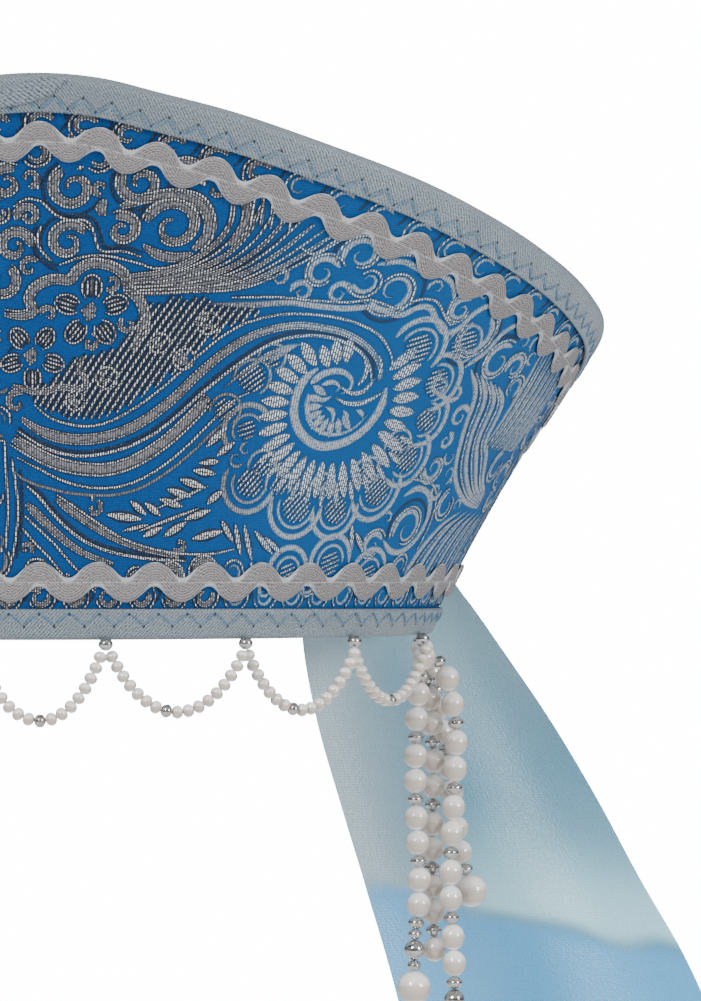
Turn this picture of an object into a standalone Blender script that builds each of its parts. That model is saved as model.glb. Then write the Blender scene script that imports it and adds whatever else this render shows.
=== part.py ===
"""A kokoshnik: a stiff flared crown of brocade, bound and trimmed, with hung beads and two ribbons.

Units are metres. The wearer's face looks along -Y, +X is the viewer's right and +Z is up. The
origin is the middle of the head opening, at the rim's lower edge. Angles are measured round the
head from the middle of the front, in degrees, and grow towards the viewer's right.
"""

from math import asinh, cos, cosh, pi, radians, sin, sinh

import bmesh
import bpy
import numpy as np

# Crown
RIM_RADIUS = 0.0920  # outer face of the crown at the rim's height
CROWN_WALL = 0.0020
CROWN_HEIGHT = 0.1200  # top of the crown in the middle, without its binding
FRONT_FLARE = 0.0090  # how far the front would lean out over the crown's height, if it were straight
SIDE_FLARE = 0.0576  # the same for the sides
HOLLOW_FLARE = 0.0219  # what the hollow curve of the flare adds at the crown's height
END_ANGLE = 111.0  # where the crown stops, behind the ears

# Trim
CLOTH = 0.0010  # folded binding
GAP = 0.0003  # kept between pieces
TOP_BINDING = 0.0067
RIM_BINDING = 0.0070
RICKRACK_TAPE = 0.0048
RICKRACK_WAVE = 0.0021  # half of the height that the tape's middle swings through
RICKRACK_PITCH = 0.0128
RICKRACK_CLOTH = 0.0010
UPPER_CLEAR = 0.0020  # between a binding's edge and the rickrack's crests
LOWER_CLEAR = 0.0013

# Beads
SWAG_BEAD = 0.0030
SWAG_PITCH = 0.00255
SWAG_BEADS = 17
RIM_BEAD = 0.0032
PEARL = 0.0056
SILVER = 0.0038
SMALL_SILVER = 0.0032
LARGE_SILVER = 0.0048
LARGE_PEARL = 0.0078
NECK = 0.0014  # where two beads of one string meet
FLAT_BEAD = 0.85  # a bead shorter than this share of its width has one ring
SHOULDERS = (0.27, 0.73)  # places along any other bead of its two rings
SHOULDER = 0.93  # and their width as a share of the bead's
RIM_BEAD_OUT = 0.0025  # the rim beads' middles, out from the crown's face at the rim
RIM_BEAD_DOWN = 0.0009  # and below the rim's lower edge
SWAG_SIDE = 0.0010  # how far beside, and before or behind, its rim bead a swag begins
SWAG_DEPTH = 0.0013
SWAG_START = 0.0016  # below the rim bead's middle
SWAG_ANGLES = (8.9, 29.0, 49.0, 70.5)  # where the swags are sewn on, each side
PENDANT_ANGLE = 77.0

# Ribbons
RIBBON_CLOTH = 0.0010
RIBBON_WIDTH = 0.0770  # across, at the lower end
RIBBON_TOP = 0.0280  # above the rim, where it is sewn on
RIBBON_DROP = 0.1250  # from there to the lower end
RIBBON_REACH = 0.0440  # how far its middle line wanders outwards on the way
RIBBON_FOLD = 0.0022
RIBBON_INSET = 0.0045  # its middle at the sewn end lies this far inside the crown's end

# How finely the surfaces are divided
CROWN_COLUMNS = 42
RIM_COLUMNS = 36
STEPS_PER_WAVE = 6
BEAD_SIDES = 10
SWAG_POINTS = 10
STRING_POINTS = 7

# The top edge from the middle of the front to where it meets the rim's binding at the end.
TOP_EDGE = [
    # angle as a share of END_ANGLE, height as a share of CROWN_HEIGHT
    (0.000, 1.000),
    (0.054, 0.992),
    (0.108, 0.968),
    (0.180, 0.934),
    (0.270, 0.880),
    (0.360, 0.824),
    (0.450, 0.761),
    (0.541, 0.699),
    (0.631, 0.643),
    (0.721, 0.596),
    (0.793, 0.546),
    (0.865, 0.474),
    (0.919, 0.390),
    (0.963, 0.284),
    (0.990, 0.175),
    (1.000, 0.115),
]

# The side strings, top to bottom: each bead's kind, and the line that they hang along.
STRINGS = {
    "front": "sPSPPSPPSPPSPPSsLsB",
    "outer": "sPPSPPSPPSPPSPPSLsB",
    "middle": "sPSPPSPPSPPSPPSP",
    "short": "PPSPPSPPSPPSB",
}
# Each line's points: outwards and backwards from the sewn point, and height, as shares of STRING_DROP.
STRING_DROP = 0.0860
STRING_LINES = {
    "front": [(0.000, 0.000, -0.003), (0.016, 0.000, -0.075), (-0.004, 0.000, -0.200), (-0.008, 0.000, -0.450),
              (0.003, 0.000, -0.690), (-0.010, 0.000, -0.830), (-0.012, 0.000, -1.010)],
    "outer": [(0.050, 0.012, -0.062), (0.081, 0.012, -0.121), (0.095, 0.012, -0.195), (0.104, 0.012, -0.260),
              (0.101, 0.012, -0.400), (0.090, 0.012, -0.600), (0.090, 0.012, -0.750), (0.099, 0.012, -0.900),
              (0.098, 0.012, -1.155)],
    "middle": [(0.012, 0.064, -0.012), (0.012, 0.064, -0.035), (0.030, 0.066, -0.130), (0.046, 0.066, -0.350),
               (0.042, 0.066, -0.600), (0.050, 0.066, -0.900)],
    "short": [(0.018, 0.146, -0.013), (0.018, 0.146, -0.035), (0.055, 0.135, -0.140), (0.090, 0.125, -0.350),
              (0.118, 0.122, -0.560), (0.130, 0.121, -0.620), (0.166, 0.118, -0.753)],
}

# The ribbon from its sewn end down.
RIBBON_SECTIONS = [
    # height share of RIBBON_DROP, middle as a share of RIBBON_REACH, width share, how deep it folds
    (0.000, 0.030, 0.27, 0.4),
    (-0.064, 0.010, 0.35, 0.4),
    (-0.128, 0.020, 0.44, 0.4),
    (-0.184, 0.057, 0.53, 0.4),
    (-0.244, 0.098, 0.62, 0.5),
    (-0.402, 0.291, 0.75, 0.8),
    (-0.559, 0.487, 0.83, 1.0),
    (-0.717, 0.675, 0.89, 1.0),
    (-0.874, 0.870, 0.96, 1.0),
    (-1.000, 1.000, 1.00, 1.0),
]
RIBBON_COLUMNS = 6

STAND = GAP + CLOTH  # how far a binding's face stands off the crown
RIM_EDGE = STAND  # height of the crown's own lower edge


def clear_scene():
    """Remove what the file opened with."""
    for thing in list(bpy.data.objects):
        bpy.data.objects.remove(thing, do_unlink=True)


def material(name, colour, roughness, metallic=0.0):
    """One plain finish."""
    made = bpy.data.materials.new(name)
    made.use_nodes = True
    shader = made.node_tree.nodes["Principled BSDF"]
    shader.inputs["Base Color"].default_value = (*colour, 1.0)
    shader.inputs["Roughness"].default_value = roughness
    shader.inputs["Metallic"].default_value = metallic
    return made


def crown_radius(angle, height):
    """Outer radius of the crown, which leans out more at the sides and curves as it rises."""
    share = height / CROWN_HEIGHT
    side = sin(radians(angle)) ** 2
    lean = FRONT_FLARE + (SIDE_FLARE - FRONT_FLARE) * side
    return RIM_RADIUS + lean * share + HOLLOW_FLARE * share * share


def crown_face(angle, height):
    """A point on the crown's outer face."""
    turn, radius = radians(angle), crown_radius(angle, height)
    return np.array((radius * sin(turn), -radius * cos(turn), height))


def crown_frame(angle, height):
    """The face's slopes along angle and height there, and its outward normal."""
    along = (crown_face(angle + 0.05, height) - crown_face(angle - 0.05, height)) / 0.1
    up = (crown_face(angle, height + 1e-5) - crown_face(angle, height - 1e-5)) / 2e-5
    normal = np.cross(along, up)
    return along, up, normal / np.linalg.norm(normal)


def crown_point(angle, height, stand=0.0):
    """A point that stands off the crown's outer face, inside it where stand is negative."""
    return crown_face(angle, height) + crown_frame(angle, height)[2] * stand


def walk(angle, height, direction, distance, steps=4):
    """Follow the crown's face from a point in a direction, and give the new angle and height."""
    for _ in range(steps):
        along, up, _ = crown_frame(angle, height)
        slopes = np.stack((along, up), axis=1)
        move, *_ = np.linalg.lstsq(slopes, direction * distance / steps, rcond=None)
        angle, height = angle + move[0], height + move[1]
    return angle, height


def smooth_line(points, per_span=12):
    """A Catmull-Rom curve through points, with a straight start and end."""
    points = np.array(points, float)
    padded = np.vstack((2 * points[0] - points[1], points, 2 * points[-1] - points[-2]))
    line = []
    for a, b, c, d in zip(padded, padded[1:], padded[2:], padded[3:]):
        for step in range(per_span):
            t = step / per_span
            line.append(
                0.5 * (2 * b + (c - a) * t + (2 * a - 5 * b + 4 * c - d) * t**2 + (3 * b - a - 3 * c + d) * t**3)
            )
    return np.vstack((line, points[-1]))


def even_points(line, shares):
    """Points of a polyline at shares of its length."""
    lengths = np.concatenate(([0.0], np.cumsum(np.linalg.norm(np.diff(line, axis=0), axis=1))))
    at = np.asarray(shares) * lengths[-1]
    return np.stack([np.interp(at, lengths, line[:, k]) for k in range(line.shape[1])], axis=1)


def top_edge(columns):
    """Angle and height of the crown's top edge at evenly spaced places, end to end."""
    half = [(share * END_ANGLE, height * CROWN_HEIGHT) for share, height in TOP_EDGE]
    both = [(-angle, height) for angle, height in reversed(half[1:])] + half
    arc = radians(1.0) * crown_radius(0.0, CROWN_HEIGHT / 2)
    scaled = np.array([(angle * arc, height) for angle, height in both])
    even = even_points(smooth_line(scaled), np.linspace(0.0, 1.0, columns + 1))
    return [(x / arc, height) for x, height in even]


def edge_inwards(edge, index):
    """Direction on the face, square to the top edge there, that points into the crown."""
    along, _, normal = crown_frame(*edge[index])
    if index == 0:
        inwards = along
    elif index == len(edge) - 1:
        inwards = -along
    else:
        inwards = np.cross(crown_face(*edge[index + 1]) - crown_face(*edge[index - 1]), normal)
    return inwards / np.linalg.norm(inwards)


def finish(name, mesh, look):
    """Make the named object of a finished bmesh."""
    bmesh.ops.recalc_face_normals(mesh, faces=mesh.faces)
    data = bpy.data.meshes.new(name)
    mesh.to_mesh(data)
    mesh.free()
    data.materials.append(look)
    data.shade_smooth()
    data.set_sharp_from_angle(angle=radians(40))
    made = bpy.data.objects.new(name, data)
    bpy.context.collection.objects.link(made)
    return made


def loft_pairs(name, sections, look):
    """A closed strip through sections, each a list of outer points and as many inner ones.

    An inner point may stand twice in a row, opposite two outer ones.
    """
    mesh = bmesh.new()

    def corners(points):
        made = []
        for k, point in enumerate(points):
            again = k > 0 and np.allclose(point, points[k - 1], atol=1e-7)
            made.append(made[-1] if again else mesh.verts.new(point))
        return made

    def face(*ring):
        once = list(dict.fromkeys(ring))
        if len(once) > 2:
            mesh.faces.new(once)

    rings = [(corners(outer), corners(inner)) for outer, inner in sections]
    for (outer_a, inner_a), (outer_b, inner_b) in zip(rings, rings[1:]):
        for k in range(len(outer_a) - 1):
            face(outer_a[k], outer_a[k + 1], outer_b[k + 1], outer_b[k])
            face(inner_a[k + 1], inner_a[k], inner_b[k], inner_b[k + 1])
        for k in (0, -1):
            face(outer_a[k], inner_a[k], inner_b[k], outer_b[k])
    for outer, inner in (rings[0], rings[-1]):
        for k in range(len(outer) - 1):
            face(outer[k], outer[k + 1], inner[k + 1], inner[k])
    return finish(name, mesh, look)


def crown(look):
    """The stiff panel, one wall bent round the head and open at the back."""
    edge = top_edge(CROWN_COLUMNS)
    fan = 0.84 * END_ANGLE  # past this angle the columns lean so that they also reach the end
    last = [i for i, (angle, _) in enumerate(edge) if angle > fan]
    feet = [angle for angle, _ in edge]
    start = edge[last[0] - 1][0]
    for step, i in enumerate(last, 1):
        feet[i] = start + (END_ANGLE - start) * step / len(last)
        feet[-1 - i] = -feet[i]
    first_row = RIM_BINDING / CROWN_HEIGHT
    shares = [0.0, first_row, 0.28, 0.53, 0.78, 1.0]
    sections = []
    for foot, (angle, top) in zip(feet, edge):
        spots = [(foot + (angle - foot) * s, RIM_EDGE + (top - RIM_EDGE) * s) for s in shares]
        sections.append(
            ([crown_point(*spot) for spot in spots], [crown_point(*spot, stand=-CROWN_WALL) for spot in spots])
        )
    return loft_pairs("crown", sections, look)


def fold_profile(width):
    """A folded binding's section: how far off the crown's outer face and how far in from its edge."""
    back = -CROWN_WALL - STAND
    soft = CLOTH * 0.8
    outer = [
        (STAND, width),
        (STAND, -STAND + soft),
        (STAND - soft, -STAND),
        (back + soft, -STAND),
        (back, -STAND + soft),
        (back, width),
    ]
    near, far = GAP, -CROWN_WALL - GAP
    inner = [(near, width), (near, -GAP), (near, -GAP), (far, -GAP), (far, -GAP), (far, width)]
    return outer, inner


def top_binding(look):
    """Satin folded over the top edge and down both ends, as far as the rim's binding."""
    edge = top_edge(CROWN_COLUMNS)
    profile = fold_profile(TOP_BINDING)
    sections = []
    for index, (angle, height) in enumerate(edge):
        inwards = edge_inwards(edge, index)
        section = []
        for half in profile:
            spots = [(stand, walk(angle, height, inwards, distance)) for stand, distance in half]
            section.append([crown_point(*spot, stand=stand) for stand, spot in spots])
        sections.append(section)
    return loft_pairs("top_binding", sections, look)


def rim_binding(look):
    """Satin folded over the rim, from end to end."""
    past = END_ANGLE + STAND / RIM_RADIUS * 180 / pi
    profile = fold_profile(RIM_BINDING - STAND)
    sections = []
    for angle in np.linspace(-past, past, RIM_COLUMNS + 1):
        section = [
            [crown_point(angle, RIM_EDGE + distance, stand=stand) for stand, distance in half] for half in profile
        ]
        sections.append(section)
    return loft_pairs("rim_binding", sections, look)


def rickrack(name, path, look):
    """A wavy tape laid along a path of angles and heights, with a crest in the middle of the front."""
    line = np.array([crown_face(*spot) for spot in path])
    length = np.linalg.norm(np.diff(line, axis=0), axis=1).sum()
    waves = round(length / RICKRACK_PITCH)
    shares = np.linspace(0.0, 1.0, waves * STEPS_PER_WAVE + 1)
    lengths = np.concatenate(([0.0], np.cumsum(np.linalg.norm(np.diff(line, axis=0), axis=1)))) / length
    middle = [[np.interp(s, lengths, [spot[k] for spot in path]) for k in range(2)] for s in shares]
    sections = []
    for share, (angle, height) in zip(shares, middle):
        ahead = [np.interp(min(share + 1e-3, 1.0), lengths, [spot[k] for spot in path]) for k in range(2)]
        behind = [np.interp(max(share - 1e-3, 0.0), lengths, [spot[k] for spot in path]) for k in range(2)]
        run = crown_face(*ahead) - crown_face(*behind)
        upwards = np.cross(crown_frame(angle, height)[2], run)
        upwards /= np.linalg.norm(upwards)
        swing = RICKRACK_WAVE * cos(2 * pi * waves * (share - 0.5))
        spots = [walk(angle, height, upwards, swing + side * RICKRACK_TAPE / 2) for side in (1, -1)]
        sections.append(
            (
                [crown_point(*spot, stand=GAP + RICKRACK_CLOTH) for spot in spots],
                [crown_point(*spot, stand=GAP) for spot in spots],
            )
        )
    return loft_pairs(name, sections, look)


def rickrack_paths():
    """The middle lines of the two tapes."""
    half_height = RICKRACK_WAVE + RICKRACK_TAPE / 2
    low = RIM_BINDING + LOWER_CLEAR + half_height
    stop = END_ANGLE - (TOP_BINDING + GAP + CLOTH) / RIM_RADIUS * 180 / pi
    lower = [(angle, low) for angle in np.linspace(-stop, stop, 61)]
    edge = top_edge(96)
    inset = TOP_BINDING + UPPER_CLEAR + half_height
    upper = [walk(*spot, edge_inwards(edge, i), inset) for i, spot in enumerate(edge)]
    floor = low + 2 * half_height + LOWER_CLEAR
    return lower, [spot for spot in upper if spot[1] > floor]


def turned_string(name, beads, line, look):
    """Beads fused in a row: a turned shape whose radius follows the beads along a smooth line."""
    total = sum(length for _, length in beads)
    smooth = smooth_line(line)
    span = np.linalg.norm(np.diff(smooth, axis=0), axis=1).sum()
    stretch = span / total
    rings, at = [(0.0, NECK / 2)], 0.0
    for width, length in beads:
        long = length * stretch
        if length < FLAT_BEAD * width:
            rings.append((at + 0.5 * long, width / 2))
        else:
            rings += [(at + share * long, width / 2 * SHOULDER) for share in SHOULDERS]
        at += long
        rings.append((at, NECK / 2))
    places = even_points(smooth, [place / span for place, _ in rings])
    mesh = bmesh.new()
    circles = []
    for index, (_, radius) in enumerate(rings):
        run = places[min(index + 1, len(places) - 1)] - places[max(index - 1, 0)]
        run = run / np.linalg.norm(run)
        side = np.cross(run, (0.0, 1.0, 0.0))
        side /= np.linalg.norm(side)
        other = np.cross(side, run)
        turns = [2 * pi * k / BEAD_SIDES for k in range(BEAD_SIDES)]
        circles.append([mesh.verts.new(places[index] + radius * (cos(t) * side + sin(t) * other)) for t in turns])
    for a, b in zip(circles, circles[1:]):
        for k in range(BEAD_SIDES):
            mesh.faces.new((a[k], a[(k + 1) % BEAD_SIDES], b[(k + 1) % BEAD_SIDES], b[k]))
    mesh.faces.new(circles[0])
    mesh.faces.new(circles[-1])
    return finish(name, mesh, look)


def hanging_line(start, end, length, count):
    """Points along a slack line of that length between two points."""
    start, end = np.array(start), np.array(end)
    span = np.linalg.norm((end - start)[:2])
    low, high = 1e-3, 20.0
    for _ in range(60):
        middle = (low + high) / 2
        low, high = (middle, high) if sinh(middle) / middle < length / span else (low, middle)
    scale = span / (2 * low)
    points = []
    for share in np.linspace(-1.0, 1.0, count):
        across = scale * asinh(share * sinh(low))
        fall = scale * (cosh(low) - cosh(across / scale))
        along = (across / span) + 0.5
        points.append(start + (end - start) * along - np.array((0.0, 0.0, fall)))
    return points


def tube(name, points, width, look):
    """A plain round tube through points, with closed ends."""
    curve = bpy.data.curves.new(name, "CURVE")
    curve.dimensions = "3D"
    curve.bevel_depth = width / 2
    curve.bevel_resolution = 2
    curve.use_fill_caps = True
    spline = curve.splines.new("POLY")
    spline.points.add(len(points) - 1)
    for spot, point in zip(spline.points, points):
        spot.co = (*point, 1.0)
    curve.materials.append(look)
    made = bpy.data.objects.new(name, curve)
    bpy.context.collection.objects.link(made)
    return made


def sewn_point(angle):
    """The middle of the rim's lower edge there."""
    turn, radius = radians(angle), RIM_RADIUS - CROWN_WALL / 2 + GAP
    return np.array((radius * sin(turn), -radius * cos(turn), 0.0))


def rim_bead_point(angle):
    """The middle of a rim bead, which hangs at the rim's outer lower corner."""
    turn, radius = radians(angle), RIM_RADIUS + RIM_BEAD_OUT
    return np.array((radius * sin(turn), -radius * cos(turn), -RIM_BEAD_DOWN))


def outwards_and_across(angle):
    """Two level directions at the rim: away from the head, and round it to the viewer's right."""
    turn = radians(angle)
    return np.array((sin(turn), -cos(turn), 0.0)), np.array((cos(turn), sin(turn), 0.0))


def rim_beads(look):
    """A silver bead at each place where two swags are sewn to the rim."""
    places = [-a for a in reversed(SWAG_ANGLES)] + list(SWAG_ANGLES)
    for number, angle in enumerate(places, 1):
        mesh = bmesh.new()
        bmesh.ops.create_uvsphere(mesh, u_segments=BEAD_SIDES, v_segments=5, radius=RIM_BEAD / 2)
        bmesh.ops.translate(mesh, verts=mesh.verts, vec=rim_bead_point(angle))
        finish(f"rim_bead_{number}", mesh, look)


def swags(look):
    """Seven short strings of small pearls, each hung slack between two rim beads."""
    places = [-a for a in reversed(SWAG_ANGLES)] + list(SWAG_ANGLES)
    length = SWAG_BEADS * SWAG_PITCH
    drop = np.array((0.0, 0.0, SWAG_START))
    for number, (left, right) in enumerate(zip(places, places[1:]), 1):
        out_left, across_left = outwards_and_across(left)
        out_right, across_right = outwards_and_across(right)
        start = rim_bead_point(left) + SWAG_SIDE * across_left - SWAG_DEPTH * out_left - drop
        end = rim_bead_point(right) - SWAG_SIDE * across_right + SWAG_DEPTH * out_right - drop
        tube(f"swag_{number}", hanging_line(start, end, length, SWAG_POINTS), SWAG_BEAD, look)


def side_strings(pearl_look):
    """On each side four heavier strings of pearls and silver beads."""
    sizes = {
        "s": (SMALL_SILVER, SMALL_SILVER * 0.8),
        "P": (PEARL, PEARL * 1.05),
        "S": (SILVER, SILVER * 0.73),
        "L": (LARGE_SILVER, LARGE_SILVER),
        "B": (LARGE_PEARL, LARGE_PEARL),
    }
    for side, mirror in (("right", 1.0), ("left", -1.0)):
        sewn = sewn_point(PENDANT_ANGLE)
        for kind, letters in STRINGS.items():
            line = [
                ((sewn[0] + out * STRING_DROP) * mirror, sewn[1] + back * STRING_DROP, up * STRING_DROP)
                for out, back, up in STRING_LINES[kind]
            ]
            if kind in ("front", "outer"):
                turned_string(f"{kind}_string_{side}", [sizes[k] for k in letters], line, pearl_look)
            else:
                points = even_points(smooth_line(line), np.linspace(0.0, 1.0, STRING_POINTS))
                tube(f"{kind}_string_{side}", points, PEARL * 0.96, pearl_look)


def ribbons(look):
    """A wide satin ribbon sewn behind each end of the crown, falling down and outwards."""
    end = crown_face(END_ANGLE, RIM_BINDING)
    middle = end[0] - RIBBON_INSET
    behind = end[1] + STAND + GAP + RIBBON_CLOTH / 2 + RIBBON_FOLD * RIBBON_SECTIONS[0][3]
    for side, mirror in (("right", 1.0), ("left", -1.0)):
        sections = []
        for height, reach, width, depth in RIBBON_SECTIONS:
            z = RIBBON_TOP + height * RIBBON_DROP
            centre = middle + reach * RIBBON_REACH
            front, back = [], []
            for column in range(RIBBON_COLUMNS + 1):
                share = column / RIBBON_COLUMNS - 0.5
                wave = RIBBON_FOLD * depth * cos(2 * pi * 1.5 * share)
                x = (centre + share * width * RIBBON_WIDTH) * mirror
                front.append((x, behind - wave - RIBBON_CLOTH / 2, z))
                back.append((x, behind - wave + RIBBON_CLOTH / 2, z))
            sections.append((front, back))
        loft_pairs(f"ribbon_{side}", sections, look)


def build():
    """Make every piece."""
    clear_scene()
    brocade = material("brocade", (0.05, 0.13, 0.45), 0.5, 0.2)
    satin = material("binding_satin", (0.35, 0.44, 0.50), 0.4)
    tape = material("rickrack_tape", (0.62, 0.57, 0.56), 0.8)
    pearl = material("pearl", (0.86, 0.82, 0.76), 0.25)
    silver = material("silver_bead", (0.80, 0.80, 0.80), 0.1, 1.0)
    ribbon = material("ribbon_satin", (0.25, 0.47, 0.62), 0.35)
    crown(brocade)
    top_binding(satin)
    rim_binding(satin)
    lower, upper = rickrack_paths()
    rickrack("lower_rickrack", lower, tape)
    rickrack("upper_rickrack", upper, tape)
    rim_beads(silver)
    swags(pearl)
    side_strings(pearl)
    ribbons(ribbon)


build()
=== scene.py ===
# %% [markdown]
# # A kokoshnik
#
# A kokoshnik is the stiff, flared headdress of Russian folk dress: a panel covered with brocade,
# bound with satin, trimmed with wavy rickrack tape, and hung with strings of pearls. This lesson
# dresses a plain solid model of one. The solids give every size. What is made here is what the
# eye reads: thread, sheen, stitches, single beads and soft folds.

from math import asinh, cos, cosh, pi, radians, sin, sinh

import bpy
import numpy as np
from mathutils import Matrix, Vector


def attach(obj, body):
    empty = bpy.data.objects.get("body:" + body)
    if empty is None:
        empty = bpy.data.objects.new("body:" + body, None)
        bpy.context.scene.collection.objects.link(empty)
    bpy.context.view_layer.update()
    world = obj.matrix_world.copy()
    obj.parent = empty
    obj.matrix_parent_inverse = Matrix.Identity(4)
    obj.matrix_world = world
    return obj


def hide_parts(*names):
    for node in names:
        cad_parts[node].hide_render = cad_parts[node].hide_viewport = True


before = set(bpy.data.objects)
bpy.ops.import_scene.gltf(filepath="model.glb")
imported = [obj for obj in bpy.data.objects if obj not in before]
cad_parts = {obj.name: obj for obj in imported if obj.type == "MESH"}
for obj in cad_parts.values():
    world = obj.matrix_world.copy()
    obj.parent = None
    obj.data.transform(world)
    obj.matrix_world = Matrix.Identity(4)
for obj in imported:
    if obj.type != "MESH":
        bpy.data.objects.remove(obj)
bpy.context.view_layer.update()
bpy.ops.object.select_all(action="DESELECT")
print("solids to dress:", len(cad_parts))

# %% [markdown]
# ## The camera
#
# The picture looks at the right half of the crown from straight in front, from 1.2 m away and a
# little above the rim. A camera could slide its lens sideways to frame that, but a small turn is
# simpler, and it behaves better when the same camera later walks round the object.

# %% Camera
LONG_SIDE = 1001  # pixels of the picture's height
FOCAL = 5034  # the lens, in the same pixels
TURN, TILT = 3.54, 0.51  # degrees to the right and up
AWAY, ABOVE_RIM = 1.2, 0.02085

view = radians(90 + TILT), 0, radians(-TURN)
bpy.ops.object.camera_add(location=(0, -AWAY, ABOVE_RIM), rotation=view)
camera = bpy.context.object
camera.data.sensor_width = 36
camera.data.lens = 36 * FOCAL / LONG_SIDE
camera.data.clip_start = 0.05
bpy.context.scene.camera = camera
print("lens:", round(camera.data.lens, 1), "mm")

# %% [markdown]
# ## Sums on sockets
#
# A procedural finish is a sum of simple patterns. Written as nodes one by one, a sum is hard to
# read. The small class below holds one output socket and answers to +, -, * and the others by
# adding the Math node that does the work, so a finish reads like a formula.

# %% A socket that can be reckoned with
class Wire:
    """An output socket of a material that takes part in sums."""

    def __init__(self, tree, socket=None):
        self.tree, self.socket = tree, socket

    def node(self, kind, settings=None, sockets=None, out=0):
        """Add a node: its settings first, then its sockets, by name or number."""
        made = self.tree.nodes.new(kind)
        for key, value in (settings or {}).items():
            setattr(made, key, value)
        for key, value in (sockets or {}).items():
            if isinstance(value, Wire):
                self.tree.links.new(value.socket, made.inputs[key])
            else:
                made.inputs[key].default_value = value
        return Wire(self.tree, made.outputs[out])

    def maths(self, operation, *values):
        """Add a Math node that works on those values."""
        return self.node("ShaderNodeMath", {"operation": operation}, dict(enumerate(values)))

    def __add__(self, other):
        return self.maths("ADD", self, other)

    def __sub__(self, other):
        return self.maths("SUBTRACT", self, other)

    def __rsub__(self, other):
        return self.maths("SUBTRACT", other, self)

    def __mul__(self, other):
        return self.maths("MULTIPLY", self, other)

    def __truediv__(self, other):
        return self.maths("DIVIDE", self, other)

    def __gt__(self, other):
        return self.maths("GREATER_THAN", self, other)

    def __mod__(self, other):
        return self.maths("FLOORED_MODULO", self, other)

    def __abs__(self):
        return self.maths("ABSOLUTE", self)

    def smooth(self, low, high):
        """0 below low and 1 above high, with a soft step between."""
        sockets = {"Value": self, "From Min": low, "From Max": high}
        return self.node("ShaderNodeMapRange", {"interpolation_type": "SMOOTHSTEP"}, sockets)

    def mix(self, first, second):
        """first where this is 0 and second where it is 1; both are colours."""
        colours = {6: first, 7: second}
        colours = {k: v if isinstance(v, Wire) else (*v, 1) for k, v in colours.items()}
        return self.node("ShaderNodeMix", {"data_type": "RGBA"}, {0: self, **colours}, out=2)


# %% [markdown]
# ## A finish
#
# Every finish here is one Principled shader. Its constants are set on the shader itself, and only
# what varies over the surface is wired in. What varies starts from a place: either the place on
# the flat cloth, which the UV map holds in millimetres, or the place in the object's own space.

# %% Start a finish and close it
def finish(name, **constants):
    """A new material with those shader values, and the wire that adds its nodes."""
    look = bpy.data.materials.new(name)
    look.use_nodes = True
    shader = look.node_tree.nodes["Principled BSDF"]
    for key, value in constants.items():
        shader.inputs[key.replace("_", " ")].default_value = value
    return look, Wire(look.node_tree)


def wire_up(look, height, depth, **varying):
    """Feed the shader what varies, and a bump whose height from 0 to 1 is that many metres."""
    shader = look.node_tree.nodes["Principled BSDF"]
    varying["Normal"] = height.node("ShaderNodeBump", None, {"Height": height, "Distance": depth})
    for key, wire in varying.items():
        look.node_tree.links.new(wire.socket, shader.inputs[key.replace("_", " ")])


def on_cloth(start, chart="cloth"):
    """The place on the flat cloth, in millimetres."""
    return start.node("ShaderNodeUVMap", {"uv_map": chart})


def in_space(start):
    """The place in the object's own space, in metres."""
    return start.node("ShaderNodeTexCoord", out=3)


def split(place):
    """The three numbers of a place or a direction."""
    made = place.node("ShaderNodeSeparateXYZ", None, {0: place})
    return [Wire(made.tree, socket) for socket in made.socket.node.outputs]


def noise(place, scale, detail=2.0):
    """Soft noise from 0 to 1."""
    return place.node("ShaderNodeTexNoise", None, {"Vector": place, "Scale": scale, "Detail": detail})


def ribs(wire, spacing):
    """Even ribs: 1 on the crest of each, 0 between them."""
    return abs((wire / spacing) % 1 - 0.5) * 2


def thread_finish(name, roughness, dark, light):
    """Twisted thread, with plies too fine to count."""
    look, start = finish(name, Roughness=roughness)
    ply = noise(in_space(start), 2600.0, 1.0).smooth(0.35, 0.65)
    wire_up(look, ply, 0.00005, Base_Color=ply.mix(dark, light))
    return look


# %% [markdown]
# ## Floor and light
#
# A product picture of this kind has two large soft lamps in front, a weak one above and a white
# backdrop. The floor lies well below the crown, so the picture doesn't show it.

# %% Floor and lamps
FLOOR, FLOOR_SIZE = -0.30, 4.4
LAMP_AIM = Vector((0.04, -0.06, 0.04))

bpy.ops.mesh.primitive_plane_add(size=FLOOR_SIZE, location=(0, 0, FLOOR))
floor = bpy.context.object
floor.name = "floor"
floor_look, start = finish("pale_floor", Base_Color=(0.86, 0.87, 0.89, 1), Roughness=0.9)
floor.data.materials.append(floor_look)


def lamp(name, place, size, power):
    """A square soft lamp that looks at the crown."""
    turn = (LAMP_AIM - Vector(place)).to_track_quat("-Z", "Y").to_euler()
    bpy.ops.object.light_add(type="AREA", location=place, rotation=turn)
    made = bpy.context.object
    made.name = name
    made.data.size = size
    made.data.energy = power


lamp("left_lamp", (-0.8, -1.4, 0.9), 0.6, 26)
lamp("right_lamp", (1.4, -1.2, 0.5), 0.6, 23)
lamp("top_lamp", (0.1, 0.1, 1.7), 1.2, 7)

# %% [markdown]
# The surround is white only where the camera looks straight at it. For the light that falls on
# the object it is dim: brighter above, dark towards the horizon and a little brighter below. A
# pearl or a chrome bead shows its roundness by what it mirrors, so this band matters.

# %% Surround
WHITE = 16.0  # what the camera sees behind the object

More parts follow.
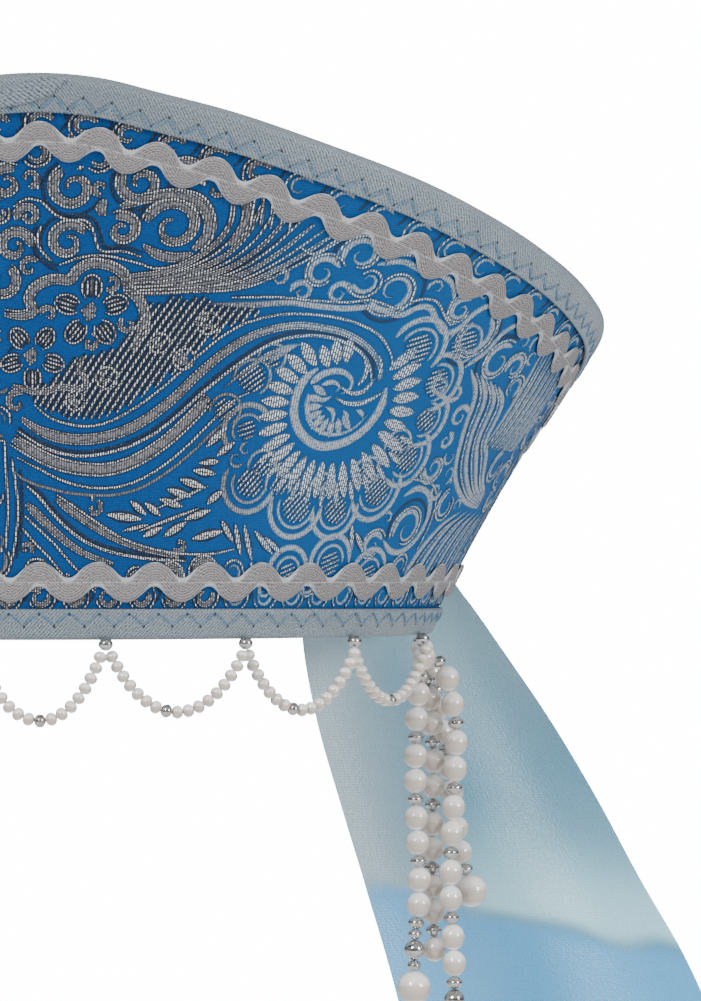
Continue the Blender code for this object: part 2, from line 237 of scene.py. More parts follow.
world = bpy.data.worlds.new("surround")
bpy.context.scene.world = world
world.use_nodes = True
start = Wire(world.node_tree)
rise = split(start.node("ShaderNodeTexCoord"))[2]
glow = rise.smooth(0.02, 0.55) * 0.50 + (0 - rise).smooth(0.08, 0.5) * 0.28 + 0.18
seen = start.node("ShaderNodeLightPath")
brightness = seen * WHITE + (1 - seen) * glow
backdrop = world.node_tree.nodes["Background"]
backdrop.inputs["Color"].default_value = (0.96, 0.98, 1.0, 1)
world.node_tree.links.new(brightness.socket, backdrop.inputs["Strength"])
print("surround:", len(world.node_tree.nodes), "nodes")

# %% [markdown]
# ## The crown's form
#
# The rim is round. The wall above it leans out a little in front and far more at the sides, and
# the lean grows with height, which gives the hollow flare. These formulas repeat the solid's, so
# whatever is laid on the crown here lies exactly on it. Angles are degrees round the head from the
# middle of the front, and heights are metres above the rim.

# %% The crown's face
RIM_RADIUS, CROWN_HEIGHT, CROWN_WALL = 0.0920, 0.1200, 0.0020
FRONT_FLARE, SIDE_FLARE, HOLLOW_FLARE = 0.0090, 0.0576, 0.0219
END_ANGLE = 111.0
CLOTH, GAP = 0.0010, 0.0003
STAND = CLOTH + GAP  # how far the bindings' outside stands off the face
RIM_EDGE = STAND


def crown_face(angle, height):
    """Points on the outer face."""
    turn, share = np.radians(angle), height / CROWN_HEIGHT
    lean = FRONT_FLARE + (SIDE_FLARE - FRONT_FLARE) * np.sin(turn) ** 2
    radius = RIM_RADIUS + lean * share + HOLLOW_FLARE * share**2
    return np.stack((radius * np.sin(turn), -radius * np.cos(turn), height + 0 * turn), axis=-1)


def slopes(angle, height):
    """How the face runs there for a degree and for a metre of height, and its outward normal."""
    along = (crown_face(angle + 0.05, height) - crown_face(angle - 0.05, height)) / 0.1
    up = (crown_face(angle, height + 1e-5) - crown_face(angle, height - 1e-5)) / 2e-5
    normal = np.cross(along, up)
    return along, up, normal / np.linalg.norm(normal, axis=-1, keepdims=True)


def crown_point(angle, height, stand=0.0):
    """Points that stand off the face, or lie inside it where stand is negative."""
    normal = slopes(angle, height)[2]
    return crown_face(angle, height) + normal * np.expand_dims(stand + 0 * angle, -1)


def walk(angle, height, direction, distance, steps=4):
    """Go that far over the face in a direction, and give the new angles and heights."""
    for _ in range(steps):
        along, up, _ = slopes(angle, height)
        aa, au, uu = (along * along).sum(-1), (along * up).sum(-1), (up * up).sum(-1)
        da, du = (along * direction).sum(-1), (up * direction).sum(-1)
        part = distance / steps / (aa * uu - au * au)
        angle, height = angle + part * (da * uu - du * au), height + part * (du * aa - da * au)
    return angle, height


print("front:", *crown_face(0.0, CROWN_HEIGHT).round(4), " side:", *crown_face(90.0, 0.0).round(4))

# %% [markdown]
# The top edge is highest in front and falls to the sides in a long curve. A smooth line through a
# few measured places gives it.

# %% The top edge
TOP_EDGE = """0 1, .054 .992, .108 .968, .180 .934, .270 .880, .360 .824, .450 .761, .541 .699,
    .631 .643, .721 .596, .793 .546, .865 .474, .919 .390, .963 .284, .990 .175, 1 .115"""


def rows_of(text):
    """Rows of numbers, given as text like '0 5, 3 7'."""
    return np.array([[float(x) for x in row.split()] for row in text.split(",")])


def smooth_line(points, per_span=12):
    """A smooth line through points, straight at its start and end."""
    points = np.array(points, float)
    padded = np.vstack((2 * points[0] - points[1], points, 2 * points[-1] - points[-2]))
    t = (np.arange(per_span) / per_span)[:, None]
    spans = []
    for a, b, c, d in zip(padded, padded[1:], padded[2:], padded[3:]):
        bend, twist = 2 * a - 5 * b + 4 * c - d, 3 * b - a - 3 * c + d
        spans.append(0.5 * (2 * b + (c - a) * t + bend * t**2 + twist * t**3))
    return np.vstack((*spans, points[-1:]))


def lengths_along(points):
    """How far each point of a line is from its start."""
    steps = np.linalg.norm(np.diff(points, axis=0), axis=1)
    return np.concatenate(([0.0], np.cumsum(steps)))


def even_points(line, shares):
    """Points of a line at shares of its length."""
    lengths = lengths_along(line)
    wanted = np.asarray(shares) * lengths[-1]
    return np.stack([np.interp(wanted, lengths, part) for part in line.T], axis=1)


DEGREE = radians(1) * (RIM_RADIUS + FRONT_FLARE / 2 + HOLLOW_FLARE / 4)  # its length in front
half = rows_of(TOP_EDGE) * (END_ANGLE * DEGREE, CROWN_HEIGHT)
top_line = smooth_line(np.vstack((half[:0:-1] * (-1, 1), half)))


def top_edge(shares):
    """Angles and heights at shares of the edge's length, left to right."""
    spots = even_points(top_line, shares)
    return spots[:, 0] / DEGREE, spots[:, 1]


def top_height(angle):
    """How high the crown is at an angle."""
    return np.interp(angle * DEGREE, top_line[:, 0], top_line[:, 1])


def inwards(angle, height):
    """Directions on the face, square to the edge, that point into the crown."""
    spots = crown_face(angle, height)
    run = np.gradient(spots, axis=0)
    run[0], run[-1] = slopes(angle, height)[1][[0, -1]] * [[1], [-1]]
    inward = np.cross(slopes(angle, height)[2], run) * -1
    return inward / np.linalg.norm(inward, axis=1, keepdims=True)


edge_length = lengths_along(crown_face(*top_edge(np.linspace(0, 1, 400))))[-1]
print("top edge:", round(edge_length * 1000), "mm")

# %% [markdown]
# ## Laying flat work on the crown
#
# Cloth is cut flat and then bent into place, and the same order works here. A grid primitive is
# the flat piece. One helper moves its points to where a rule says, welds the long seam where the
# section meets itself, closes the two ends, and keeps a UV map that measures the flat piece in
# millimetres, which the weaves will need.

# %% Lay a grid along a path
def only(piece):
    """Select this piece and nothing else."""
    bpy.ops.object.select_all(action="DESELECT")
    piece.select_set(True)
    bpy.context.view_layer.objects.active = piece


def points_of(piece):
    """The piece's points as an array."""
    spots = np.empty(len(piece.data.vertices) * 3, np.float32)
    piece.data.vertices.foreach_get("co", spots)
    return spots.reshape(-1, 3)


def turn_outwards(piece, angle, welded=False):
    """Make all faces look outwards and shade them smooth, also weld and close it first."""
    only(piece)
    bpy.ops.object.mode_set(mode="EDIT")
    bpy.ops.mesh.select_all(action="SELECT")
    if welded:
        bpy.ops.mesh.remove_doubles(threshold=1e-6)
        bpy.ops.mesh.fill_holes(sides=0)
        bpy.ops.mesh.select_all(action="SELECT")
    bpy.ops.mesh.normals_make_consistent(inside=False)
    bpy.ops.object.mode_set(mode="OBJECT")
    bpy.ops.object.shade_smooth_by_angle(angle=radians(angle))


def laid(name, columns, rows, place, flat, look):
    """A closed strip. With s from end to end and t round the section, place(s, t) gives each
    point, and flat(s, t) its spot on the flat piece in millimetres."""
    bpy.ops.mesh.primitive_grid_add(x_subdivisions=columns, y_subdivisions=rows, size=2)
    piece = bpy.context.object
    piece.name = piece.data.name = name
    s, t = ((points_of(piece)[:, :2] + 1) / 2).T.astype(float)
    piece.data.vertices.foreach_set("co", place(s, t).astype(np.float32).ravel())
    chart = piece.data.uv_layers[0]
    chart.name = "cloth"
    spots = np.empty(len(chart.data) * 2, np.float32)
    chart.data.foreach_get("uv", spots)
    spots = np.stack(flat(*spots.reshape(-1, 2).T.astype(float)), axis=1)
    chart.data.foreach_set("uv", spots.astype(np.float32).ravel())
    turn_outwards(piece, 50, welded=True)
    piece.data.materials.append(look)
    return piece


def dressed(piece, slot, *nodes):
    """Let the finished piece stand for its solids."""
    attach(piece, "root")
    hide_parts(*nodes)
    print(piece.name, len(piece.data.polygons), "faces")


# %% [markdown]
# ## The brocade panel
#
# The panel is one sheet over the outer face, over the top edge and down the inside, so its section is
# closed. The outer face gets a fine grid, because its thread is laid on it, and the bare inside a coarse
# one. A hem is hidden under each binding. The ground is deep blue in front and lighter at the sides. That
# lightening at the sides is painted light, where the cloth turns towards the lamps.

# %% The panel
STEP = 0.0018  # of the cloth's grid
ON_CLOTH = 1.8  # millimetres of flat cloth to a degree
HEM, FIRST_ROW = 0.0055, 0.0062  # hidden under the bindings

fine = np.arange(FIRST_ROW, CROWN_HEIGHT - HEM, STEP)
outer_rows, inner_rows = len(fine) + 2, 12


def panel_spot(s, t):
    """Angle, height, and whether it is on the inside."""
    angle = (2 * s - 1) * END_ANGLE
    row = np.rint(t * (outer_rows + inner_rows)).astype(int)
    top = top_height(angle)
    outer = np.concatenate(([RIM_EDGE], fine, [CROWN_HEIGHT]))[np.minimum(row, outer_rows - 1)]
    below = np.minimum(outer, np.maximum(top - HEM, FIRST_ROW))
    outer = np.where(row == outer_rows - 1, top, below)
    down = np.clip((outer_rows + inner_rows - 1 - row) / (inner_rows - 1), 0, 1)
    inner = RIM_EDGE + (top - RIM_EDGE) * down
    inside = (row >= outer_rows) & (row < outer_rows + inner_rows)
    last = row == outer_rows + inner_rows
    return angle, np.where(inside, inner, np.where(last, RIM_EDGE, outer)), inside


def panel_place(s, t):
    """The point on the crown."""
    angle, height, inside = panel_spot(s, t)
    return crown_point(angle, height, np.where(inside, -CROWN_WALL, 0.0))


def panel_flat(s, t):
    """The spot on the flat cloth."""
    angle, height, _ = panel_spot(s, t)
    return angle * ON_CLOTH, height * 1000


ground_look, start = finish("brocade_ground", Roughness=0.6, Specular_IOR_Level=0.12)
cloth = on_cloth(start)
u, v, _ = split(cloth)
weft = ribs(v, 0.42)
mottle = noise(cloth, 0.5, 3.0).smooth(0.3, 0.7)
streak = noise(cloth, 2.4, 1.0).smooth(0.35, 0.65)
blue = (weft * 0.5 + streak * 0.5).mix((0.0004, 0.031, 0.130), (0.0018, 0.071, 0.245))
blue = (mottle * 0.35).mix(blue, (0.001, 0.036, 0.143))
# painted light: the ground is painted lighter away from the middle of the front
blue = (abs(u).smooth(20, 95) * 0.5).mix(blue, (0.012, 0.104, 0.285))
wire_up(ground_look, weft, 0.00005, Base_Color=blue)
columns = round(2 * END_ANGLE * ON_CLOTH / 1000 / STEP)
crown = laid("brocade_panel", columns, outer_rows + inner_rows, panel_place, panel_flat, ground_look)
dressed(crown, "brocade", "crown")

# %% [markdown]
# ## The brocade's figure
#
# The silver figure of a brocade is thread that floats over the ground. It could be painted by a
# shader, but spirals, paisleys and feathered leaves are far easier to draw as strokes: a line with
# a width. Each stroke here is drawn on the flat cloth in millimetres, like a pen stroke, and then
# becomes a thin raised strip on the crown. Three kinds of thread make the figure: matt grey bands,
# bright dotted threads, and the dark threads that outline them.

# %% Strokes
REPEAT = 150.0  # millimetres to the figure's next repeat
strokes = []  # kind, width, profile, points on the flat cloth


def draw(kind, width, points, profile="even"):
    """Add a stroke through points, given as an array or as text."""
    points = rows_of(points) if isinstance(points, str) else np.array(points, float)
    strokes.append((kind, width, profile, points))


def draw_all(text):
    """Add strokes given as text like 'grey 2.1 tail: 0 5, 3 7; dots 0.9: 1 2, 4 4'."""
    for stroke in text.split(";"):
        head, points = stroke.split(":")
        kind, width, *profile = head.split()
        draw(kind, float(width), points, *profile)


def curl(u, v, start, end, from_angle, to_angle, count=14):
    """A spiral about a place whose radius runs from start to end."""
    radius = np.linspace(start, end, count)
    turn = np.radians(np.linspace(from_angle, to_angle, count))
    return np.stack((u + radius * np.cos(turn), v + radius * np.sin(turn)), axis=1)


def left_of(line):
    """Directions square to a flat line, to its left."""
    run = np.gradient(line, axis=0)
    return np.stack((-run[:, 1], run[:, 0]), axis=1) / np.linalg.norm(run, axis=1, keepdims=True)


def outline(kind, width, points, offset):
    """A stroke that runs beside a smooth line at a distance to its left."""
    line = smooth_line(rows_of(points), 4)
    draw(kind, width, (line + left_of(line) * offset)[::2])


# The sweep of the big paisley's tail
draw_all("""
    grey 2.1 tail: -4 48.5, 0 46, 5 44.4, 10 44, 15 44.6, 20 46.2, 25 49, 30 53, 35 58.3, 40 63,
        45 66.5, 50 68.4, 55 69.2, 60 68.8, 65 67.8, 70 65.6, 74 62.4, 76.6 58
""")
under = """-5 46, 0 42.8, 5 41, 10 40.4, 15 41, 20 42.3, 25 44.6, 28 46.6, 32 50, 36 54, 40 57.6,
    45 61.8, 50 65.2, 55 66.8, 60 67, 65 66, 70 63.6, 73 60.6, 74.6 57"""
outline("dark", 1.3, under, 0.7)
draw("dots", 1.2, under)
draw("grey", 1.3, "41 55.4, 45 59, 49 62.2, 53 64.4, 57 65.2", "leaf")
lace = "-6 44, 0 40.6, 5 38.6, 10 37.7, 15 37.5, 20 38.6, 25 41, 30 44.6, 35 49.6, 38 53.4"
draw("grey", 2.2, lace)
outline("dots", 0.7, lace, 1.2)
outline("dots", 0.7, lace, -1.3)
draw_all("""
    dots 0.9: -5 40, 0 37.6, 5 35.2, 10 33.8, 15 33.4, 20 34, 25 36, 30 39.2, 35 43.6, 40 49, 44 53,
        47 54.5;
    grey 0.9: -7 38, -3 35, 3 33.2, 8 32.2, 15 31.8, 20 32.3, 25 34, 30 37, 35 41, 40 46, 43 49;
    dots 0.9: -1 51.5, 2 49, 5 47.8, 10 46.9, 15 47.6, 20 50, 25 53.4, 30 57.8, 35 62.8, 40 67.2, 45 70,
        52 71.6, 60 71.4, 67 70, 73 67.4, 77 63.4, 78.6 60
""")

# The leaves that fall to the lower edge
fall = "-3 34, 0 31.4, 4 27, 8 23.6, 12 21.2, 17 19.5, 22 18.5, 28 17.8, 36 17.4"
outline("dark", 1.2, fall, 0.7)
draw("dots", 1.2, fall)
draw_all("""
    dots 0.8: 4 32, 8 29.6, 12 27, 16 24.6, 20 22.4, 25 20.7, 30 19.6, 35 19, 42 19, 48 20;
    grey 1.3 tail: 4 31, 8 28, 13 25, 18 22.4, 23 20.6, 28 19.4, 34 18.2;
    grey 1.7 tail: -3 30, 0 27.2, 4 23.6, 8 20.6, 12 18.6, 18 16.8;
    dots 0.9: -3.5 27.4, 0 24.4, 4 20.8, 7 17.6, 10 14.6;
    dots 0.9: -4 24.6, -1 21.4, 3 17.6, 6 14;
    dots 1.0: -6.4 40, -5.4 34, -5 28, -5.8 21, -7.4 15;
    dots 1.0: -8 44, -7.6 36, -7.4 28, -8 20;
    dark 0.9: -4.4 38, -4 32, -4.2 25, -5.4 18
""")

# Feathered hatching above the tail
roof = rows_of("-2 55, 4 58, 8 62, 14 63.4, 19 65, 22 69, 24 74, 30 75.6, 38 75, 46 73.6, 52 72.4")
ground = rows_of("-2 52, 5 48.6, 10 47.8, 15 48.6, 20 51, 25 54.4, 30 58.8, 35 63.8, 40 68, 46 71, 52 72")
for foot in np.arange(-14, 52, 1.65):
    rise = np.arange(40, 78, 0.7)
    across = foot + (rise - 47) * 0.62
    low_end, high_end = np.interp(across, *ground.T), np.interp(across, *roof.T)
    inside = (rise > low_end) & (rise < high_end) & (across > -2)
    if inside.sum() > 3:
        path = np.stack((across[inside], rise[inside]), axis=1)
        draw("dark", 0.75, path[::2] + (-0.5, 0.3))
        draw("dots", 0.95, path[::2])
for u, v, size in rows_of("15 57.4 1.5, 31.6 61.6 1.4, 26 65 1.3, 36 69.4 1.5, 8 52.4 1.2"):
    draw("dots", 0.8, curl(u, v, size + 0.9, size + 0.9, 0, 350))
    draw("grey", 1.0, curl(u, v, size, size * 0.3, 90, 420, 10))
print("strokes so far:", len(strokes))

# %% [markdown]
# A few shapes return all over the cloth, and each has a helper of its own: petals, flowers and
# curling scrolls, later hatched leaves and scallops. What is there only once is a list of points.

# %% Flowers
def petal(u, v, angle, near, far, width, kind="dots", profile="leaf"):
    """A short stroke that points away from a place."""
    turn = radians(angle)
    draw(kind, width, [(u + r * cos(turn), v + r * sin(turn)) for r in np.linspace(near, far, 4)], profile)


def flower(u, v, size, turn=0):
    """Five oval petals round a grey eye, each dark with dotted threads across it."""
    for angle in np.arange(5) * 72 + 90 + turn:
        ahead = np.array((cos(radians(angle)), sin(radians(angle))))
        beside = np.array((-ahead[1], ahead[0]))
        centre = np.array((u, v)) + 0.64 * size * ahead
        draw("dark", size * 0.42, [centre - 0.26 * size * ahead, centre, centre + 0.26 * size * ahead])
        for offset in (-0.11, 0, 0.11):
            reach = np.array((-0.2, 0.05, 0.30 - abs(offset) * 1.2))[:, None]
            draw("dots", 0.7, centre + size * (offset * beside + reach * ahead))
        around = np.radians(np.linspace(-150, 150, 12))[:, None]
        rim = 0.34 * np.cos(around) * ahead + 0.25 * np.sin(around) * beside
        draw("dots", 0.6, centre + size * rim)
    draw("grey", size * 0.3, curl(u, v, size * 0.1, size * 0.1, 0, 340, 8))


flower(11, 71.6, 8.2)
flower(-1.5, 62, 7.4, 36)
cloud = """20 63.4, 21.4 66.6, 22.4 70, 21 74, 18.4 76.6, 17.6 79.4, 14.4 81.4, 10.6 81.8, 7.8 80.2,
    6.6 78.2, 3 78.4, -0.4 77, -2 74.4, -1 71.6, -4 70.6, -7.4 71"""
draw("grey", 1.4, cloud)
outline("dots", 0.8, cloud, -1.1)
draw("grey", 1.1, "9.6 62, 8.6 59, 10.4 57, 9 55, 5 55.4, 1 54.4, -2 54.6, -6 55.6")

# %% Scrolls
def scroll(u, v, size, start, turns=1.2, hand=1, width=1.6):
    """A grey spiral; larger ones have a dotted thread outside it and a dark one outside that."""
    edge = size + width / 2
    draw("grey", width, curl(u, v, size, size * 0.28, start, start + hand * 360 * turns), "tail")
    if size > 2.6:
        draw("dots", 0.8, curl(u, v, edge + 0.35, size * 0.62 + 0.3, start, start + hand * 300))
    if size > 3.4:
        draw("dark", 0.8, curl(u, v, edge + 1.05, edge + 0.8, start, start + hand * 220))


for u, v, size, start, hand in rows_of("""
    6.6 98 4.2 120 1, 19.6 99 3.9 150 1, 5.8 86.6 3.9 30 1, 16.6 89.2 3.1 120 -1, 26.6 90 5.4 170 -1,
    -2.2 92 2.4 200 -1, -5 85.6 3.4 0 1, -6.4 99 3.2 60 1, 64.4 84.6 3.8 200 -1, 57.4 80.6 3.4 20 1,
    54.2 76.4 2.4 180 -1, 61.8 76.2 2.5 0 1, 49 79.4 2.4 200 -1, 73 77 4.8 200 1, 89.6 73.4 2.7 60 1,
    95.4 68 4.9 60 -1, 99.4 24.6 4.9 200 -1, 100.6 38.4 2.9 180 1, 102 50 2.6 20 1, 106 62.4 4.1 60 1,
    112.6 61.4 2.9 200 -1, 88.6 20.6 3.2 30 1, 105 33.4 2.2 0 -1, 92.6 57 2.6 100 1, 101 44.6 2 90 -1,
    97.6 55.4 2 200 1, 70 12 3 150 -1, 58 11 2.6 20 1"""):
    scroll(u, v, size, start, hand=hand)

draw_all("""
    grey 1.7: 31 85, 33.4 88, 33.2 92, 30.6 95.4, 26 96.6, 20 95.6, 16 94;
    dots 0.8: 32.4 84.6, 34.6 88, 34.4 92.4, 31.4 96.6, 26 97.8, 20 96.8;
    dark 1.0: -0.6 90, -1.4 87, -0.6 84, 1.6 81.6, 4 80.4;
    dots 0.9: 0.4 90, -0.4 87, 0.4 84.6, 2.6 82.4;
    dark 0.9: 0 95.6, 3 93.2, 6 92, 9.4 92, 11.4 90.6, 12.4 87.6, 13.4 85.4, 17 85.6, 21 84.4;
    dots 0.8: -5 94, -2.6 95.6, 0.4 95, 3 92.4, 6 91.2, 9 91.2, 10.6 89.6, 11.4 87, 12.6 84.6, 17 84.6,
        21 83.4;
    grey 1.8 leaf: 13 95.6, 12 93.4, 13.4 92.4;
    grey 1.8 leaf: 21 86, 24 84, 28 83.4, 31 84.4;
    dots 0.8: 4 81.6, 9 83.4, 14 83.6, 20 82.2, 24 81, 29 82
""")

print("strokes so far:", len(strokes))


# %% The plume between the scrolls and the tail
def spread(points, step, k):
    """The points of stroke number k, where each stroke is a step beside the one before."""
    return rows_of(points) + k * rows_of(step)


high = rows_of("17.6 79, 26 80.4, 34 85, 37.6 91, 37 98")
flat = rows_of("17.6 75.6, 30 76, 42 77, 51 81.4, 60 88")
for k, share in enumerate(np.linspace(0, 1, 10)):
    line = high + (flat - high) * np.clip(share * (1 + 0.25 * (1 - share)), 0, 1)
    draw(*(("grey", 1.2, line, "tail"), ("dots", 0.7, line))[k % 2])
    if k % 4 == 1:
        draw("dark", 0.8, line[1:] + (0.2, 0.8))
draw("grey", 1.5, "38 99, 40 95, 40.4 91, 38.4 86")
for k in range(5):
    draw("dots", 1.0, spread("40.6 99, 41.4 95, 41.6 90.4", "1.9 -.8, 1.9 -.8, 1.9 -.3", k))
draw_all("""
    grey 1.5: 36 73.6, 44 73.4, 52 74, 58 73.4, 64 73, 70 73.4, 76 71.8, 79.4 73.6, 82.4 73.6, 85 70.8,
        88 68.4, 91 69.4, 93.4 73, 96.8 74.8, 100 72.6, 101.4 68.6;
    dots 0.8: 40 75, 50 75.2, 57 74.6, 64 74.4, 69 75, 75 73.4, 79 75.4, 83 75.2, 86 72.4, 88.4 70.2,
        90.6 71.2;
    grey 1.4: 68 82.6, 73 83.4, 78 81.4, 82 80.8, 85.6 78.6, 87 75.4;
    dots 0.8: 70 84.6, 75 84.8, 79.4 82.8, 83 82.2, 87 79.6, 88.4 76.6;
    grey 1.6: 60 89.4, 63 90.4, 67 89.6, 70 87.4;
    dots 0.8: 52 86, 55 84.6, 60 88.6, 66 88.6, 69 86, 69.6 82.6
""")

# %% [markdown]
# The shell that ends the paisley's tail is a spiral with two rings of petals round it.

# %% The shell
draw_all("""
    grey 2.2: 61.4 60, 59 57.6, 57.8 54, 58 50, 59.8 46.6, 62.6 44.2, 66 42.9, 70 43.2, 74 44.8,
        77 47.6, 78.8 51.6, 78.6 56;
    grey 1.5 tail: 60.4 54.4, 61 50.8, 62.6 47.8, 66 45.8, 70 45.6, 73.4 47, 76 50;
    grey 1.9 tail: 60.4 56.6, 63 58.8, 66.4 59.4, 69.4 58, 70 55.8, 68 54.4;
    grey 1.5 tail: 63 56.4, 65.6 57, 67.4 56, 66.6 54.8;
    dots 1.4 leaf: 67 53.6, 70 52.4, 74 52.6, 78 55;
    dots 1.3 leaf: 67.6 56, 70.4 54.6, 73.4 55.2, 75 58;
    dots 1.4 leaf: 70.6 63.4, 72.2 61, 72.6 58.4, 71.4 56.4;
    dots 1.2 leaf: 74.4 63, 75.8 60.4, 76 57.4;
    grey 1.3 leaf: 61.6 50, 64 49.6, 65.4 47.4;
    grey 1.3 leaf: 65 51.6, 67.4 50.4, 67.6 47.8;
    grey 1.3 leaf: 69.4 51, 71 49.4, 70.6 47.6;
    grey 1.3 leaf: 72.6 51, 74.4 50.4, 75 49;
    grey 1.3 leaf: 61.8 53.4, 64.4 53, 66 54
""")
SHELL = 68.4, 51.4
for angle in np.arange(96, 336, 11.4):
    stretch = 1 + 0.16 * max(0.0, cos(radians(angle))) - (0.16 if angle < 125 else 0)
    longer = 1.0 + 1.6 * max(0.0, -sin(radians(angle)))
    petal(*SHELL, angle, 12.0 * stretch, (17.4 + longer) * stretch, 3.9)
    if angle > 200:
        petal(*SHELL, angle + 5.7, 16.6 * stretch, (19.4 + longer) * stretch, 1.9)
for angle in (-24, -13, -2, 9, 20, 31, 42):
    petal(*SHELL, angle, 12.8, 19.4, 3.9)
for angle in np.arange(150, 330, 20):
    petal(67.6, 52.4, angle, 3.4, 7.6, 1.9, "grey")
draw("grey", 1.6, "49.6 60.4, 52.4 63, 56 65.2", "leaf")

# %% Scallops and hatched leaves
def hatched(u, v, size, slant):
    """A leaf filled with short slanting stitches."""
    ahead = np.array((cos(radians(slant)), sin(radians(slant))))
    beside = np.array((-ahead[1], ahead[0]))
    for offset in np.arange(-size + 0.5, size - 0.4, 1.05):
        reach = np.sqrt(size**2 - offset**2) * 0.92
        foot = np.array((u, v)) + offset * beside
        draw("dots", 0.75, [foot - reach * ahead, foot, foot + reach * ahead])


def scallop(u, v, size, middle):
    """A shell edge: two plain bands round a hatched leaf."""
    ends = middle - 100, middle + 100
    draw("grey", 1.5, curl(u, v, size, size, *ends, 16))
    draw("grey", 0.9, curl(u, v, size - 2.1, size - 2.1, *ends, 12))
    hatched(u, v, size - 3.1, 50 if middle > 180 else 20)


for row in rows_of("""
    50 34.6 6.4 250, 63 29.6 6.9 262, 74 28.8 6.3 275, 84.6 33.4 6.8 295, 90.6 40.6 6.3 325,
    92 49.2 5.8 355, 91 57.4 6.2 15, 83 64.8 6.4 60, 47.6 46.4 5.4 130, 76 17 6 100, 63.6 15 5.4 80,
    90 14 6 120"""):
    scallop(*row)

for u, v, size, slant in rows_of("""
    47 57.6 3.2 40, 42 50.6 2.6 40, 50.6 62 2.2 30, 94 66 3.4 20, 57.4 34.4 2.4 60, 80 37 2.8 50,
    86.6 43.4 2.6 50, 69 33.6 2.4 60, 52.4 38.6 2.4 50"""):
    hatched(u, v, size, slant)
    draw("grey", 0.9, curl(u, v, size + 0.9, size + 0.9, slant - 100, slant + 150, 12))

# %% [markdown]
# What is left are scraps of scroll along both edges, most of them under the tape, sprays of small
# leaves, and the feathered leaves near the side.

# %% Edges, sprays and feathered leaves
def top_on_cloth(u):
    """How high the cloth reaches at a place along it, in millimetres."""
    return top_height(u / ON_CLOTH) * 1000


for u in np.arange(-8, REPEAT - 8, 8.2):
    for v, hand in ((top_on_cloth(u) - 8.6, 1), (9.6, -1)):
        draw("grey", 1.1, curl(u, v, 2.4, 1.0, 20, 20 + hand * 300, 12), "tail")
        draw("dots", 0.6, curl(u + 0.4, v, 3.5, 3.1, 60, 60 + hand * 230, 12))
        draw("dark", 0.8, [(u + 3.6, v - 1.6), (u + 5, v + 0.2), (u + 4.4, v + 2.4)])

for u, v, far_u, far_v, width in rows_of("""
    16 27.6 24.4 26.6 1.9, 21.6 30.6 25.4 27.6 1.6, 25 30.2 29 27.4 1.6, 28.6 31 34 29.4 1.7,
    30 33.2 36 31.6 1.7, 33 35.4 39 33.6 1.8, 36 37.4 41.4 36.6 1.7, 25 22.8 29.4 24.8 1.7,
    30 22.8 35.4 26 1.8, 37 22.2 44.6 24 1.8, 35 26.6 41 28.6 1.8, 40 30 43.6 33 1.7,
    44 26.4 47.6 21.6 1.4, 47.6 25.6 50 18.6 1.3, 50 25.4 53 17.6 1.3, 53 24 58.4 19 1.4,
    56 22.6 61 19 1.3, 41.4 40.6 45 43.6 1.8, 38.6 42.6 43 47 1.8, 37.4 39 42 39.4 1.5, 24 24 38 29 0.7,
    28 29 40 34 0.7, 20 24 26 25.4 0.9, 82 23.6 86 19.6 1.4, 80 25.6 82 20 1.3"""):
    leaf = np.linspace((u, v), (far_u, far_v), 4)
    draw("dark", width * 1.35 + 0.5, leaf, "leaf")
    draw("dots", width * 1.35, leaf, "leaf")

leaf = "99 60.6, 104 55, 106 46, 110 37, 119 31.6, 131 29.6"
step = "1.9 -.6, 1.9 -.4, 1.7 -.2, 1.6 .8, 1 .7, 0 .5"
for k in range(7):
    draw(*(("grey", 1.5), ("dots", 0.8))[k % 2], spread(leaf, step, k))
step = "5.4 0, 5 0, 4.4 0, 3.6 0"
for k in range(6):
    draw("grey", 2.0 - 0.1 * k, spread("105.6 13.4, 108.6 19.6, 114 25.4, 121 28.8", step, k), "tail")
    draw("dots", 0.8, spread("107.6 13.4, 110.6 19.2, 116 24.8, 122 27.4", step, k))
step = "3 -1, 2.8 -1, 2.4 -1, 2.2 0"
for k in range(7):
    draw("grey", 1.5, spread("119.6 66, 120 58, 119 50, 116.6 43", step, k), "leaf")
    draw("dots", 0.8, spread("121 66, 121.4 58, 120.2 50, 117.8 43", step, k))
draw_all("""
    grey 1.6: 92 22, 96 19.6, 101 19.6, 105.4 23, 106 28, 103 32.4, 98 33.8, 94 32;
    dots 0.8: 94 36, 98 35.6, 103 34.6, 107 30.6, 108 25, 107 20;
    grey 1.4: 97 61, 101 64.6, 103.4 69, 108 71.4, 113 69.6;
    dots 0.8: 100 73, 104 74, 109 73, 114 70
""")

# %% [markdown]
# A brocade's figure is dense: the ground shows between the threads, but hardly anywhere as a bare
# patch. Instead of drawing every small scroll by hand, the widest bare place is looked for on a
# grid of points, a scroll that just fits is put there, and so on until no place is wide enough.

# %% Fill the bare places
BARE = 1.5  # millimetres to the nearest thread, where a place counts as bare
WIDEST, LARGEST = 6.0, 3.4  # room that is looked at, and the largest scroll put in

across, up = np.meshgrid(np.arange(-8, REPEAT - 8, 1.0), np.arange(8, 120, 1.0))
grid = np.stack((across.ravel(), up.ravel()), axis=1)
grid = grid[grid[:, 1] < top_on_cloth(grid[:, 0]) - 5]
room = np.full(len(grid), WIDEST)


def take_room(start):
    """Shorten every grid point's distance to the nearest thread by the strokes from that one on."""
    for _, width, _, points in strokes[start:]:
        line = smooth_line(points, 3)
        for shift in (-REPEAT, 0, REPEAT):
            moved = line + (shift, 0)
            low, high = moved.min(axis=0) - WIDEST - 1, moved.max(axis=0) + WIDEST + 1
            near = ((grid > low) & (grid < high)).all(axis=1)
            if near.any():
                gaps = np.linalg.norm(grid[near][:, None] - moved, axis=2).min(axis=1)
                room[near] = np.minimum(room[near], gaps - width / 2)


